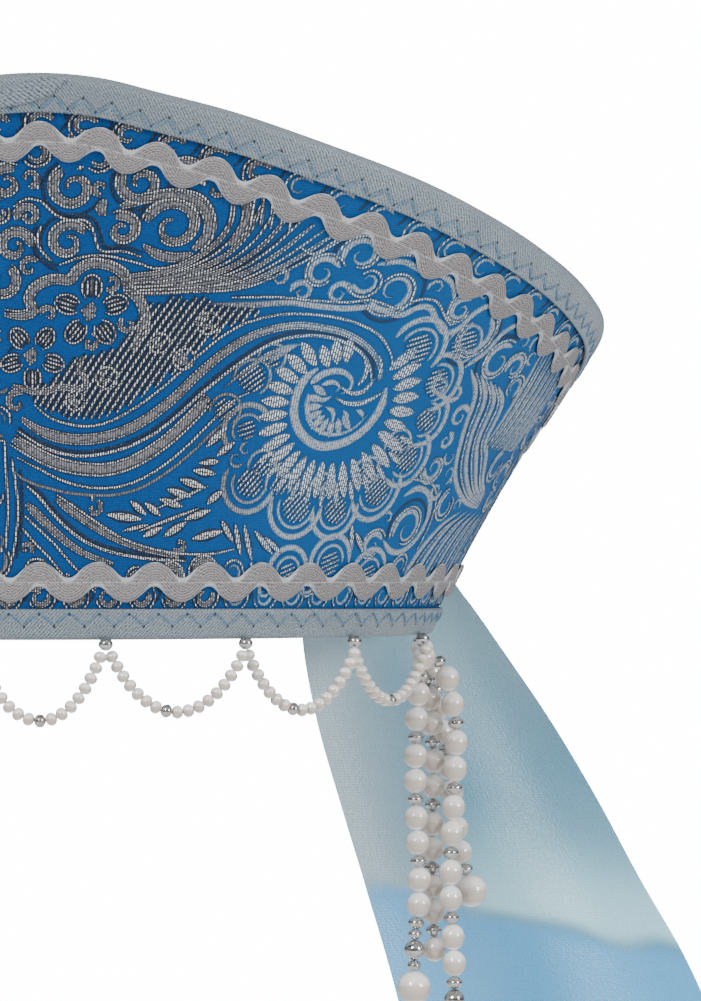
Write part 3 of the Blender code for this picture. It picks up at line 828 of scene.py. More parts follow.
take_room(0)
for number in range(420):
    widest = room.argmax()
    size = min(room[widest] + 0.1, LARGEST)
    if room[widest] < BARE:
        break
    u, v = grid[widest]
    before, width = len(strokes), 1.05 if size < 2.4 else 1.3
    scroll(u, v, size, 57 * number, turns=0.9, hand=(1, -1)[number % 2], width=width)
    if number % 3 == 0:
        petal(u, v, 57 * number + 40, size * 0.9, size + 0.9, 1.5)
    take_room(before)
print("strokes in one repeat:", len(strokes), "of which", number, "fill bare places")

# %% [markdown]
# ## Strokes become thread
#
# The cloth's figure repeats sideways, so every stroke is laid several times. Each becomes a strip
# with a flat back pressed a little into the panel, two sloping sides and a raised face. A wide
# grey band also gets a dotted border on each side, as it has on the cloth. All strips of one kind
# of thread are one piece. One UV map keeps the place on the flat cloth, so the shader's columns of
# thread run straight up through every stroke, as the warp does. A second one says how far a place
# is from the middle of its stroke, and how wide the stroke is there.

# %% Strips on the crown
SPACING = 1.15  # millimetres from one section to the next
REACH, LOWEST, BELOW_TOP = 197, 6.6, 3  # millimetres to where the strips are cut
LIFT = {"dark": 0.00010, "grey": 0.00020, "dots": 0.00024}
DARK_EDGE = 0.26  # millimetres of dark thread on each side of the dashes
BORDERED = 45  # past this place the bands have no dotted borders
BORDER, ON_BAND = 0.66, 0.3  # a band's dotted border, and how much of it lies on the band


def breadths(profile, shares):
    """The width along a stroke, as a share of its full width."""
    rounded = np.minimum(1, 0.35 + 8 * np.minimum(shares, 1 - shares))
    if profile == "leaf":
        return 0.12 + 0.88 * np.sin(pi * shares) ** 0.7
    return rounded * (1 - 0.72 * shares**1.6) if profile == "tail" else rounded


def rings_between(line, side, near, far, lift):
    """Sections of a strip: place on the cloth, stand, off the strip's middle, half width."""
    half = (far - near) / 2
    rings = []
    for across, stand in ((-1, -0.00004), (-0.75, lift), (0.75, lift), (1, -0.00004)):
        spot = line + side * (near + half * (1 + across))[:, None]
        rings.append(np.column_stack((spot, np.full(len(line), stand), across * half, half)))
    return np.stack(rings, axis=1)


def stroke_rings(kind, width, profile, points, number):
    """The strips that a stroke is made of, each with its kind."""
    line = smooth_line(points, 6)
    length = np.linalg.norm(np.diff(line, axis=0), axis=1).sum()
    line = even_points(line, np.linspace(0, 1, max(3, round(length / SPACING)) + 1))
    side = left_of(line)
    reach = width / 2 * breadths(profile, np.linspace(0, 1, len(line)))
    if kind == "dots":
        reach = reach * (0.6 if profile == "leaf" else 0.45) + DARK_EDGE
    lift = LIFT[kind] + 0.000005 * (number % 7)
    made = [(kind, rings_between(line, side, -reach, reach, lift))]
    if kind == "grey" and width >= 1.0 and line[:, 0].mean() < BORDERED:
        for way in (-1, 1):
            ends = way * (reach - ON_BAND), way * (reach - ON_BAND + BORDER)
            made.append(("dots", rings_between(line, side, *ends[::way], lift + 0.00003)))
    return made


def strips(kind, look):
    """All strips of one kind as one piece, repeated round the crown and cut at its edges."""
    spots, faces, count = [], [], 0
    for number, (sort, width, profile, points) in enumerate(strokes):
        for strip_kind, rings in stroke_rings(sort, width, profile, points, number):
            if strip_kind != kind:
                continue
            for shift in (-2 * REPEAT, -REPEAT, 0, REPEAT):
                moved = rings + (shift, 0, 0, 0, 0)
                u, v = moved[:, 1:3, 0], moved[:, 1:3, 1]
                fits = (np.abs(u) < REACH) & (v > LOWEST) & (v < top_on_cloth(u) - BELOW_TOP)
                fits = np.concatenate(([0], fits.all(axis=1).astype(int), [0]))
                edges = np.flatnonzero(np.diff(fits))
                for first, last in zip(edges[::2], edges[1::2]):
                    rows = last - first
                    if rows < 2:
                        continue
                    spots.append(moved[first:last].reshape(-1, 5))
                    for row in range(rows - 1):
                        a, b = count + 4 * row, count + 4 * row + 4
                        faces += [(a + k, a + (k + 1) % 4, b + (k + 1) % 4, b + k) for k in range(4)]
                    faces += [(count, count + 3, count + 2, count + 1)]
                    faces += [tuple(count + 4 * (rows - 1) + k for k in range(4))]
                    count += 4 * rows
    flat = np.vstack(spots)
    data = bpy.data.meshes.new(f"brocade_{kind}")
    data.from_pydata(crown_point(flat[:, 0] / ON_CLOTH, flat[:, 1] / 1000, flat[:, 2]), [], faces)
    corners = np.empty(len(data.loops), np.int32)
    data.loops.foreach_get("vertex_index", corners)
    for chart, two in (("cloth", flat[:, :2]), ("stroke", flat[:, 3:])):
        layer = data.uv_layers.new(name=chart)
        layer.data.foreach_set("uv", two[corners].astype(np.float32).ravel())
    data.materials.append(look)
    piece = bpy.data.objects.new(data.name, data)
    bpy.context.collection.objects.link(piece)
    turn_outwards(piece, 60)
    dressed(piece, "brocade", "crown")


# %% [markdown]
# Seen close, the bright thread shows as short upright dashes with near-black between them, the grey bands
# as fine upright ribs, and the ground as fine level ribs. All three come from the two numbers of the UV
# map. All thread is also painted lighter towards the sides, as painted light.

# %% The threads' finishes
COLUMN = 0.58  # millimetres from one upright thread to the next
PAINTED_LIGHT_SPAN = 38, 62  # millimetres from the middle, between which all thread is painted lighter, as painted light on the sides


def columns_of(start):
    """The place on the cloth, how far it is from its column's middle, and the column's chance."""
    u, v, _ = split(on_cloth(start))
    column = u / COLUMN
    whole = column.maths("FLOOR", column)
    chance = start.node("ShaderNodeTexWhiteNoise", {"noise_dimensions": "1D"}, {"W": whole})
    return u, v, abs(column % 1 - 0.5), chance


def edge_distance(start):
    """Millimetres to the nearer edge of the stroke."""
    off, half_width, _ = split(on_cloth(start, "stroke"))
    return half_width - abs(off)


dots_look, start = finish("lurex_dashes", Roughness=0.4, Specular_IOR_Level=0.35)
u, v, off, chance = columns_of(start)
dash = 1 - abs((v / 1.25 + chance * 7) % 1 - 0.5).smooth(0.36, 0.44)
dash = (1 - off.smooth(0.17, 0.30)) * dash
dash = dash * edge_distance(start).smooth(DARK_EDGE - 0.08, DARK_EDGE + 0.05)
bright = noise(on_cloth(start), 0.9).smooth(0.3, 0.75).mix((0.66, 0.68, 0.71), (1.0, 1.0, 0.98))
# painted light: the dark between the dashes is painted lighter towards the sides
dark = abs(u).smooth(*PAINTED_LIGHT_SPAN).mix((0.012, 0.014, 0.022), (0.022, 0.065, 0.125))
wire_up(dots_look, dash, 0.00012, Base_Color=dash.mix(dark, bright), Metallic=dash * 0.25)

grey_look, start = finish("grey_bands", Roughness=0.55, Specular_IOR_Level=0.25)
u, v, off, chance = columns_of(start)
rib = 1 - off.smooth(0.16, 0.5)
gap = (abs((v / 2.6 + chance * 5) % 1 - 0.5) > 0.45) * 0.85
patchy = noise(on_cloth(start), 1.3)
shade = patchy.smooth(0.25, 0.8).mix((0.105, 0.10, 0.108), (0.285, 0.262, 0.255))
pale = patchy.smooth(0.2, 0.8).mix((0.27, 0.28, 0.30), (0.52, 0.50, 0.50))
# painted light: the grey bands and the ground between their ribs are painted lighter towards the sides
light = abs(u).smooth(*PAINTED_LIGHT_SPAN)
between = light.mix((0.018, 0.032, 0.055), (0.035, 0.125, 0.235))
thread = rib * (1 - gap) * edge_distance(start).smooth(0.0, 0.42)
wire_up(grey_look, rib - gap * 0.5, 0.00010, Base_Color=thread.mix(between, light.mix(shade, pale)))

dark_look, start = finish("dark_outline", Roughness=0.6, Specular_IOR_Level=0.15)
u, _, off, _ = columns_of(start)
rib = 1 - off.smooth(0.15, 0.5)
tone = noise(on_cloth(start), 2.2).smooth(0.5, 0.72) * rib
tone = tone.mix((0.005, 0.018, 0.045), (0.055, 0.065, 0.09))
# painted light: the dark thread is painted lighter towards the sides
tone = abs(u).smooth(*PAINTED_LIGHT_SPAN).mix(tone, (0.012, 0.035, 0.080))
wire_up(dark_look, rib, 0.00008, Base_Color=tone)

for kind, look in (("dark", dark_look), ("grey", grey_look), ("dots", dots_look)):
    strips(kind, look)


# %% [markdown]
# ## The bindings
#
# Each binding is one strip of satin folded over the edge, so its section is a narrow hairpin that is swept
# along the edge. The sewing pulls it down along a zigzag: the thread lies in a groove, and every turn of
# it has a needle hole. The groove and the holes are left to the shader, which dents them with a bump and
# paints shade into them, and the thread itself is a thin tube, because it stands proud and catches light.

# %% Bindings
TOP_BINDING, RIM_BINDING = 0.0067, 0.0070


def fold_ring(width, count=40):
    """The section of the folded satin: how far off the face, and how far in from the edge."""
    front, back, edge = GAP + CLOTH / 2, -CROWN_WALL - GAP - CLOTH / 2, -GAP - CLOTH / 2
    soft = 0.0006
    insets = width - CLOTH / 2, width * 0.5, edge + 2 * soft, edge + soft, edge + soft * 0.3, edge
    offs = 0, 0, 0, 0, soft * 0.3, soft
    down = [(front - off, inset) for off, inset in zip(offs, insets)]
    up = [(back + off, inset) for off, inset in zip(offs, insets)][::-1]
    middle = even_points(np.array(down + up), np.linspace(0, 1, count))
    run = np.gradient(middle, axis=0)
    side = left_of(middle) * CLOTH / 2
    turns = np.linspace(0, pi, 5)[1:-1, None]
    ahead = run[[-1]] / np.linalg.norm(run[-1]) * CLOTH / 2
    cap_end = middle[-1] + side[-1] * np.cos(turns) + ahead * np.sin(turns)
    behind = -run[[0]] / np.linalg.norm(run[0]) * CLOTH / 2
    cap_start = middle[0] - side[0] * np.cos(turns) + behind * np.sin(turns)
    ring = np.vstack((middle + side, cap_end, (middle - side)[::-1], cap_start))
    return np.vstack((ring, ring[:1]))


def top_run(shares):
    """Angles, heights and inward directions along the top edge."""
    angle, height = top_edge(shares)
    return angle, height, inwards(angle, height)


def rim_run(shares):
    """The same along the rim, a little past the ends of the crown."""
    past = END_ANGLE + np.degrees(STAND / RIM_RADIUS)
    angle = (2 * shares - 1) * past
    height = RIM_EDGE + 0 * angle
    up = slopes(angle, height)[1]
    return angle, height, up / np.linalg.norm(up, axis=1, keepdims=True)


# %% [markdown]
# The satin's twill runs aslant in fine ribs. Its tone is a sum of those ribs and of grain, cloudy patches,
# painted shade in the sewn groove and the needle holes, and painted light that makes the binding lighter
# at the sides.

# %% Satin
ZIGZAG = 6.6  # millimetres from one turn to the next on the same side
SEAM_LOW, SEAM_HIGH = 0.6, 3.5  # where it turns, in millimetres from the binding's sewn edge

satin, start = finish("binding_satin", Roughness=0.40, Specular_IOR_Level=0.45)
cloth = on_cloth(start)
u, v, _ = split(cloth)
twill = ribs(u + v * 0.9, 0.85)
grain = noise(cloth, 2.6).smooth(0.32, 0.68)
cloudy = noise(cloth, 0.12, 3.0).smooth(0.35, 0.65)
seam = abs(v - (ribs(u, ZIGZAG) * (SEAM_HIGH - SEAM_LOW) + SEAM_LOW))
groove = 1 - seam.smooth(0.1, 0.75)
turn = abs((u / ZIGZAG * 2) % 1 - 0.5)
hole = (1 - ((0.5 - turn) * ZIGZAG / 2).smooth(0.12, 0.34)) * (1 - seam.smooth(0.15, 0.36))
# painted light: the satin is painted lighter away from the middle of the front
side = abs(split(in_space(start))[0])
bright = side.smooth(0.0, 0.12).mix((0.285, 0.345, 0.39), (0.40, 0.48, 0.545))
tone = (twill * 0.5 + grain * 0.5).mix((0.004, 0.008, 0.012), bright)
tone = (cloudy * 0.35).mix(tone, (0.13, 0.16, 0.18))
# painted shade: the sewn groove and the needle holes are darkened
tone = (groove * 0.25).mix(tone, (0.07, 0.11, 0.15))
tone = hole.mix(tone, (0.012, 0.016, 0.024))
wire_up(satin, twill * 0.25 + grain * 0.2 - groove * 0.9 - hole, 0.00022, Base_Color=tone)


def binding(name, edge, width, columns, node):
    """A binding along an edge; gives back how many turns its zigzag makes."""
    ring = fold_ring(width)
    around = lengths_along(ring) * 1000
    angle, height, inward = edge(np.linspace(0, 1, columns + 1))
    turns = round(lengths_along(crown_face(angle, height))[-1] * 1000 / ZIGZAG)

    def place(s, t):
        index = np.rint(s * columns).astype(int)
        stand, inset = ring[np.rint(t * (len(ring) - 1)).astype(int)].T
        return crown_point(*walk(angle[index], height[index], inward[index], inset), stand)

    def flat(s, t):
        return s * turns * ZIGZAG, np.interp(t, np.linspace(0, 1, len(ring)), around)

    dressed(laid(name, columns, len(ring) - 1, place, flat, satin), "binding_satin", node)
    return turns


def mitre():
    """The fold where two lengths of the top binding meet, a little to one side of the middle."""
    crease = smooth_line(rows_of("4.9 120.9, 3.2 119.2, 1.5 117.6, -3 115.9, -8 114.9"), 5)
    away = np.array((-0.42, 0.91))
    depth = np.minimum(4.2, 0.35 + 0.36 * np.arange(len(crease)))
    section = rows_of(""".25 0, -.05 .14, -.12 .34, 0 .50, .3 .56, 1 .50, 2 .30, 3 .12, 4 -.06,
        3 -.1, 1.5 -.1, .25 0""")

    def spot(s, t):
        """Where a point lies on the flat cloth, and how far it stands off."""
        k = np.rint(s * (len(crease) - 1)).astype(int)
        off, stand = section[np.rint(t * (len(section) - 1)).astype(int)].T
        return crease[k] + away * (off * depth[k] / 4)[:, None], stand

    def place(s, t):
        flat, stand = spot(s, t)
        return crown_point(flat[:, 0] / ON_CLOTH, flat[:, 1] / 1000, STAND + stand / 1000)

    def flat(s, t):
        return spot(s, t)[0].T * [[0.7], [1.0]] + [[0.3], [4.5]]

    piece = laid("binding_mitre", len(crease) - 1, len(section) - 1, place, flat, satin)
    dressed(piece, "binding_satin", "top_binding")


top_turns = binding("top_binding_satin", top_run, TOP_BINDING, 640, "top_binding")
mitre()
rim_turns = binding("rim_binding_satin", rim_run, RIM_BINDING - STAND, 400, "rim_binding")

# %% [markdown]
# The zigzag's thread is drawn as a line that dips into the cloth at each turn. A curve with a
# round bevel turns such a line into a tube, and so it serves for every thread on the piece.

# %% Threads
def thread_line(name, points, node, look, slot, width=0.0005):
    """A thin round thread through points."""
    curve = bpy.data.curves.new(name, "CURVE")
    curve.dimensions = "3D"
    curve.bevel_depth = width / 2
    curve.bevel_resolution = 1
    curve.use_fill_caps = True
    spline = curve.splines.new("POLY")
    spline.points.add(len(points) - 1)
    spline.points.foreach_set("co", np.column_stack((points, np.ones(len(points)))).ravel())
    piece = bpy.data.objects.new(name, curve)
    bpy.context.collection.objects.link(piece)
    only(piece)
    bpy.ops.object.convert(target="MESH")
    piece.data.materials.append(look)
    dressed(piece, slot, node)


seam_thread = thread_finish("seam_thread", 0.5, (0.035, 0.10, 0.18), (0.12, 0.24, 0.36))


def zigzag(name, edge, width, turns, node):
    """The thread that holds a binding."""
    parts = np.arange(turns * 12 + 1) / (turns * 12)
    angle, height, inward = edge(parts)
    share = np.abs((parts * turns) % 1 - 0.5) * 2
    inset = width - (SEAM_LOW + (SEAM_HIGH - SEAM_LOW) * share) / 1000
    dip = 1 - np.sin(pi * share) ** 0.5
    points = crown_point(*walk(angle, height, inward, inset), STAND + 0.00010 - 0.00035 * dip)
    thread_line(name, points, node, seam_thread, "binding_satin", 0.00040)


zigzag("top_zigzag", top_run, TOP_BINDING, top_turns, "top_binding")
zigzag("rim_zigzag", rim_run, RIM_BINDING - STAND, rim_turns, "rim_binding")

# %% [markdown]
# ## The rickrack
#
# Rickrack is a flat braid that swings from side to side. A shape like that is what a round brush
# leaves when its middle follows a wave: the lobes are round and the hollows between them narrow.
# So its two edges are worked out from a disc on a wave. The tape is sewn on with one straight row
# of stitches, which pull it down along its middle.

# %% Rickrack
TAPE, WAVE, PITCH, TAPE_CLOTH = 0.0048, 0.0021, 0.0128, 0.0010
WAVE_COLUMNS = 32
UPPER_CLEAR, LOWER_CLEAR = 0.0020, 0.0013  # from the bindings
half_height = WAVE + TAPE / 2
low = RIM_BINDING + LOWER_CLEAR + half_height
BRUSH = 0.00222  # the disc's radius
SOFTEN = 0.0008  # how far its edges are rounded
HOLLOW, ROUNDING = 0.0036, 0.00045  # how deep the hollows are, and how round
TAPE_STITCH = 0.0024  # from one stitch to the next
ACROSS, BACK = 18, 5  # points of the section on its face and on its back


def lower_path():
    """Angles and heights along the lower tape's middle line."""
    stop = END_ANGLE - np.degrees((TOP_BINDING + GAP + CLOTH) / RIM_RADIUS)
    angle = np.linspace(-stop, stop, 61)
    return angle, low + 0 * angle


def upper_path():
    """The same for the upper tape."""
    angle, height = top_edge(np.linspace(0, 1, 97))
    angle, height = walk(angle, height, inwards(angle, height), TOP_BINDING + UPPER_CLEAR + half_height)
    keep = height > low + 2 * half_height + LOWER_CLEAR
    return angle[keep], height[keep]


def tape_edges(phase, pitch):
    """Lower and upper edge over the tape's middle line, at places counted in waves."""
    near = np.linspace(-BRUSH, BRUSH, 61)
    middle = (half_height - BRUSH) * np.cos(2 * pi * (phase[:, None] + near / pitch))
    bow = np.sqrt(BRUSH**2 - near**2)
    count = len(phase)
    off = (np.arange(count) - count // 2) / count * pitch
    weights = np.cos(pi / 2 * np.clip(off / SOFTEN, -1, 1))
    weights = np.fft.rfft(np.roll(weights / weights.sum(), -(count // 2)))
    edges = (middle - bow).min(axis=1), (middle + bow).max(axis=1)
    lower, upper = [np.fft.irfft(np.fft.rfft(edge) * weights, count) for edge in edges]
    floor_at = half_height - HOLLOW
    lower = -floor_at - ROUNDING * np.logaddexp(0, (-lower - floor_at) / ROUNDING)
    return lower, floor_at + ROUNDING * np.logaddexp(0, (upper - floor_at) / ROUNDING)


def rickrack(name, angle, height, node):
    """A tape along a path, and the stitches that hold it."""
    lengths = lengths_along(crown_face(angle, height))
    length = lengths[-1]
    waves = round(length / PITCH)
    lower, upper = tape_edges(np.arange(WAVE_COLUMNS) / WAVE_COLUMNS, length / waves)

    def on_face(s, offset, stand):
        """Points beside the tape's middle line."""
        a, h = (np.interp(s * length, lengths, part) for part in (angle, height))
        near = np.clip(np.array((s + 1e-3, s - 1e-3)), 0, 1) * length
        ends = crown_face(np.interp(near, lengths, angle), np.interp(near, lengths, height))
        upwards = np.cross(slopes(a, h)[2], ends[0] - ends[1])
        upwards /= np.linalg.norm(upwards, axis=1, keepdims=True)
        return crown_point(*walk(a, h, upwards, offset), stand)

    def section(s, t):
        """Whether a point is on the face, its share of the way up, and its offset."""
        row = np.rint(t * (ACROSS + BACK)).astype(int) % (ACROSS + BACK)
        face = row < ACROSS
        share = np.where(face, row / (ACROSS - 1), 1 - (row - ACROSS + 1) / (BACK + 1))
        column = np.rint((s - 0.5) * waves * WAVE_COLUMNS).astype(int) % WAVE_COLUMNS
        offset = lower[column] + share * (upper[column] - lower[column])
        return face, share, offset

    def place(s, t):
        face, share, offset = section(s, t)
        bulge = np.sqrt(np.clip(1 - np.abs(2 * share - 1) ** 5, 0, 1))
        stitch = 0.7 + 0.3 * np.cos(2 * pi * s * length / TAPE_STITCH)
        pull = np.exp(-((offset / 0.0006) ** 2)) * stitch
        stand = GAP + face * (TAPE_CLOTH * (0.25 + 0.75 * bulge) - 0.00028 * pull)
        return on_face(s, offset, stand)

    def flat(s, t):
        turn = 2 * pi * waves * (s - 0.5)
        slope = (half_height - BRUSH) * 2 * pi * waves / length * np.sin(turn)
        middle = (half_height - BRUSH) * np.cos(turn)
        return s * length * 1000, (section(s, t)[2] - middle) * 1000 / np.sqrt(1 + slope**2)

    piece = laid(name + "_tape", waves * WAVE_COLUMNS, ACROSS + BACK, place, flat, tape)
    dressed(piece, "rickrack_tape", node)
    parts = np.linspace(0, 1, round(length / TAPE_STITCH) * 6 + 1)
    lift = np.abs(np.sin(pi * parts * length / TAPE_STITCH)) ** 0.6
    points = on_face(parts, 0 * parts, GAP + TAPE_CLOTH * 0.42 + 0.00048 * lift)
    thread_line(name + "_stitches", points, node, tape_thread, "rickrack_tape", 0.00036)


# %% [markdown]
# The braid's finish has ribs along the tape and slanting ones across them, both a little fuzzy.

# %% Braid
tape, start = finish("rickrack_tape", Roughness=0.75, Specular_IOR_Level=0.3)
cloth = on_cloth(start)
u, v, _ = split(cloth)
fuzz = noise(cloth, 2.2).smooth(0.3, 0.7)
rib = ribs(v + fuzz * 0.12, 0.56)
plait = ribs(u + abs(v) * 1.2, 0.8)
tone = (rib * 0.5 + plait * 0.3 + fuzz * 0.2).mix((0.035, 0.032, 0.034), (0.40, 0.378, 0.378))
tone = abs(v).smooth(1.7, 2.3).mix(tone, (0.44, 0.45, 0.47))
wire_up(tape, rib * 0.6 + plait * 0.4, 0.00022, Base_Color=tone)
tape_thread = thread_finish("tape_thread", 0.6, (0.24, 0.235, 0.24), (0.44, 0.43, 0.43))

rickrack("lower_rickrack", *lower_path(), "lower_rickrack")
rickrack("upper_rickrack", *upper_path(), "upper_rickrack")

# %% [markdown]
# ## Beads
#
# Every bead is a copy of one of two balls, stretched or shortened along its thread. They differ in size
# and finish only. The imitation pearls have a deep cream lacquer. Their body gets painted shade in a band
# round and below its middle, standing for the dark horizon it would mirror, and is left lighter at the
# very bottom, as painted light from below. A clear coat adds the sharp highlight.
# The metal beads mirror the surround, so they look dark with a few bright spots.

# %% Beads
SWAG_BEAD, SWAG_PITCH, SWAG_BEADS, RIM_BEAD = 0.0030, 0.00255, 17, 0.0032
PEARL, SILVER, SMALL_SILVER, LARGE_SILVER, LARGE_PEARL = 0.0056, 0.0038, 0.0032, 0.0048, 0.0078
SWAG_ANGLES = (8.9, 29.0, 49.0, 70.5)
PENDANT_ANGLE, STRING_DROP = 77.0, 0.0860

pearl, start = finish("pearl", Roughness=0.34, Coat_Roughness=0.07, Coat_Weight=0.9, Coat_IOR=1.85)
facing = split(start.node("ShaderNodeNewGeometry", out=1))[2]  # 1 where the surface looks up
lustre = noise(in_space(start), 420.0).smooth(0.3, 0.7)
# painted shade: a darker band round and below each pearl's middle, lighter again at the very bottom
painted_shade_band = (facing + 0.98).smooth(0.0, 0.40) * (1 - (facing + 0.18).smooth(0.0, 0.72))
tone = lustre.mix((0.90, 0.865, 0.81), (1.0, 0.98, 0.95))
tone = (painted_shade_band * 0.9).mix(tone, (0.45, 0.37, 0.29))
wire_up(pearl, lustre, 0.00006, Base_Color=tone)
silver, start = finish("silver_bead", Metallic=1.0)
wear = noise(in_space(start), 700.0, 3.0).smooth(0.35, 0.75)
tone = wear.mix((0.55, 0.54, 0.53), (0.40, 0.38, 0.36))
wire_up(silver, wear, 0.00004, Base_Color=tone, Roughness=wear * 0.18 + 0.07)
bead_thread = thread_finish("bead_thread", 0.7, (0.55, 0.53, 0.49), (0.85, 0.84, 0.80))


def bead(name, look):
    """A ball one metre wide, to be copied at the beads' sizes."""
    bpy.ops.mesh.primitive_uv_sphere_add(segments=20, ring_count=12, radius=0.5)
    piece = bpy.context.object
    piece.name = name
    bpy.ops.object.shade_smooth()
    piece.data.materials.append(look)
    return piece


pearl_start, silver_start = bead("pearl_start", pearl), bead("silver_start", silver)


def strung(name, beads, slot, node):
    """Copies of a bead, each (start, centre, direction, width, length), joined as one piece."""
    copies = []
    for first, centre, direction, width, length in beads:
        copy = bpy.data.objects.new(name, first.data.copy())
        bpy.context.collection.objects.link(copy)
        turn = Vector(direction).to_track_quat("Z", "Y").to_matrix().to_4x4()
        size = Matrix.Diagonal((width, width, length, 1))
        copy.data.transform(Matrix.Translation(Vector(centre)) @ turn @ size)
        copies.append(copy)
    only(copies[0])
    for copy in copies:
        copy.select_set(True)
    bpy.ops.object.join()
    dressed(bpy.context.object, slot, node)


def round_the_head(angle, radius, height):
    """The point at that angle, radius and height."""
    turn = radians(angle)
    return np.array((radius * sin(turn), -radius * cos(turn), height))


RIM_BEAD_OUT, RIM_BEAD_DOWN = 0.0025, 0.0009  # at the rim's outer lower corner
places = [-a for a in reversed(SWAG_ANGLES)] + list(SWAG_ANGLES)
sewn_on = [round_the_head(angle, RIM_RADIUS + RIM_BEAD_OUT, -RIM_BEAD_DOWN) for angle in places]
for number, spot in enumerate(sewn_on, 1):
    rim_bead = silver_start, spot, (0, 0, 1), RIM_BEAD, RIM_BEAD * 0.9
    strung(f"rim_silver_{number}", [rim_bead], "silver_bead", f"rim_bead_{number}")

# %% [markdown]
# A swag is a slack thread between two rim beads. A hanging thread takes the shape of a catenary,
# and its sag follows from its length: the loop below halves an interval until the length is right.

# %% Swags
def hanging_line(start, end, length, count):
    """Points along a slack line of that length between two points."""
    span = np.linalg.norm((end - start)[:2])
    low, high = 1e-3, 20.0
    for _ in range(60):
        middle = (low + high) / 2
        low, high = (middle, high) if sinh(middle) / middle < length / span else (low, middle)
    scale = span / (2 * low)
    points = []
    for share in np.linspace(-1.0, 1.0, count):
        across = scale * asinh(share * sinh(low))
        fall = scale * (cosh(low) - cosh(across / scale))
        points.append(start + (end - start) * (across / span + 0.5) - np.array((0.0, 0.0, fall)))
    return np.array(points)


SWAG_SIDE, SWAG_DEPTH, SWAG_START = 0.0010, 0.0013, 0.0016
SILVER_PLACES = (9, 8, 9, 8, 7, 7, 8)  # beads before the silver one, rarely quite in the middle

for number in range(1, len(places)):
    ends = []
    for k, way in ((number - 1, 1), (number, -1)):
        out = round_the_head(places[k], 1, 0)
        across = np.array((-out[1], out[0], 0))
        shift = way * (SWAG_SIDE * across - SWAG_DEPTH * out)
        ends.append(sewn_on[k] + shift - (0, 0, SWAG_START))
    line = hanging_line(*ends, SWAG_BEADS * SWAG_PITCH, 4 * SWAG_BEADS + 1)
    centres = line[2::4]
    runs = line[3::4] - line[1::4]
    beads = [(pearl_start, c, r, SWAG_BEAD, SWAG_PITCH * 1.02) for c, r in zip(centres, runs)]
    middle = beads.pop(SILVER_PLACES[number - 1])
    strung(f"swag_pearls_{number}", beads, "pearl", f"swag_{number}")
    strung(f"swag_silver_{number}", [(silver_start, *middle[1:])], "silver_bead", f"swag_{number}")
    thread_line(f"swag_thread_{number}", line, f"swag_{number}", bead_thread, "pearl")

# %% [markdown]
# The strings at the temples hang in four lines on each side, whose points were measured in shares
# of one drop. A string is spelled in letters, one for each sort of bead, and its beads share out
# the line's length among themselves.

# %% The strings at the temples
STRINGS = {
    "front": "sPSPPSPPSPPSPPSsLsB",
    "outer": "sPPSPPSPPSPPSPPSLsB",
    "middle": "sPSPPSPPSPPSPPSP",
    "short": "PPSPPSPPSPPSB",
}
STRING_LINES = {
    "front": """0 0 -.003, .016 0 -.075, -.004 0 -.2, -.008 0 -.45, .003 0 -.69, -.01 0 -.83,
        -.012 0 -1.01""",
    "outer": """.050 .012 -.062, .081 .012 -.121, .095 .012 -.195, .104 .012 -.260, .101 .012 -.400,
        .090 .012 -.600, .090 .012 -.750, .099 .012 -.900, .098 .012 -1.155""",
    "middle": """.012 .064 -.012, .012 .064 -.035, .03 .066 -.13, .046 .066 -.35, .042 .066 -.6,
        .05 .066 -.9""",
    "short": """.018 .146 -.013, .018 .146 -.035, .055 .135 -.140, .090 .125 -.350, .118 .122 -.560,
        .130 .121 -.620, .166 .118 -.753""",
}
BEADS = {
    "s": (silver_start, SMALL_SILVER, SMALL_SILVER * 0.8),
    "P": (pearl_start, PEARL, PEARL * 1.05),
    "S": (silver_start, SILVER, SILVER * 0.73),
    "L": (silver_start, LARGE_SILVER, LARGE_SILVER),
    "B": (pearl_start, LARGE_PEARL, LARGE_PEARL),
}
sewn = round_the_head(PENDANT_ANGLE, RIM_RADIUS - CROWN_WALL / 2 + GAP, 0)
for side, mirror in (("right", 1.0), ("left", -1.0)):
    for kind, letters in STRINGS.items():
        points = (rows_of(STRING_LINES[kind]) * STRING_DROP + sewn) * (mirror, 1, 1)
        line = smooth_line(points)
        span = lengths_along(line)[-1]
        total = sum(BEADS[k][2] for k in letters)
        ends = np.concatenate(([0], np.cumsum([BEADS[k][2] for k in letters]))) / total
        centres = even_points(line, (ends[1:] + ends[:-1]) / 2)
        tops, feet = even_points(line, ends[:-1]), even_points(line, ends[1:])
        beads = []
        for letter, centre, top, foot in zip(letters, centres, tops, feet):
            first, width, length = BEADS[letter]
            beads.append((first, centre, foot - top, width, length * span / total))
        node = f"{kind}_string_{side}"
        for look, slot in ((pearl_start, "pearl"), (silver_start, "silver_bead")):
            strung(f"{node}_{slot}", [b for b in beads if b[0] is look], slot, node)
        thread_line(f"{node}_thread", line, node, bead_thread, "pearl", 0.0008)


# %% [markdown]
# ## Ribbons
#
# The ribbons are wide, soft satin, gathered where they are sewn on behind the ends of the crown.
# They hang free in wide shallow folds that grow downwards. Lower down a slanting fold stands out from the
# cloth and turns it to the light. A painted sheen lies along that fold, and the cloth below it is painted
# a deeper blue as painted shade. Satin floats its threads one way, which is why it shines in broad
# patches: the finish is smooth with very fine level ribs.

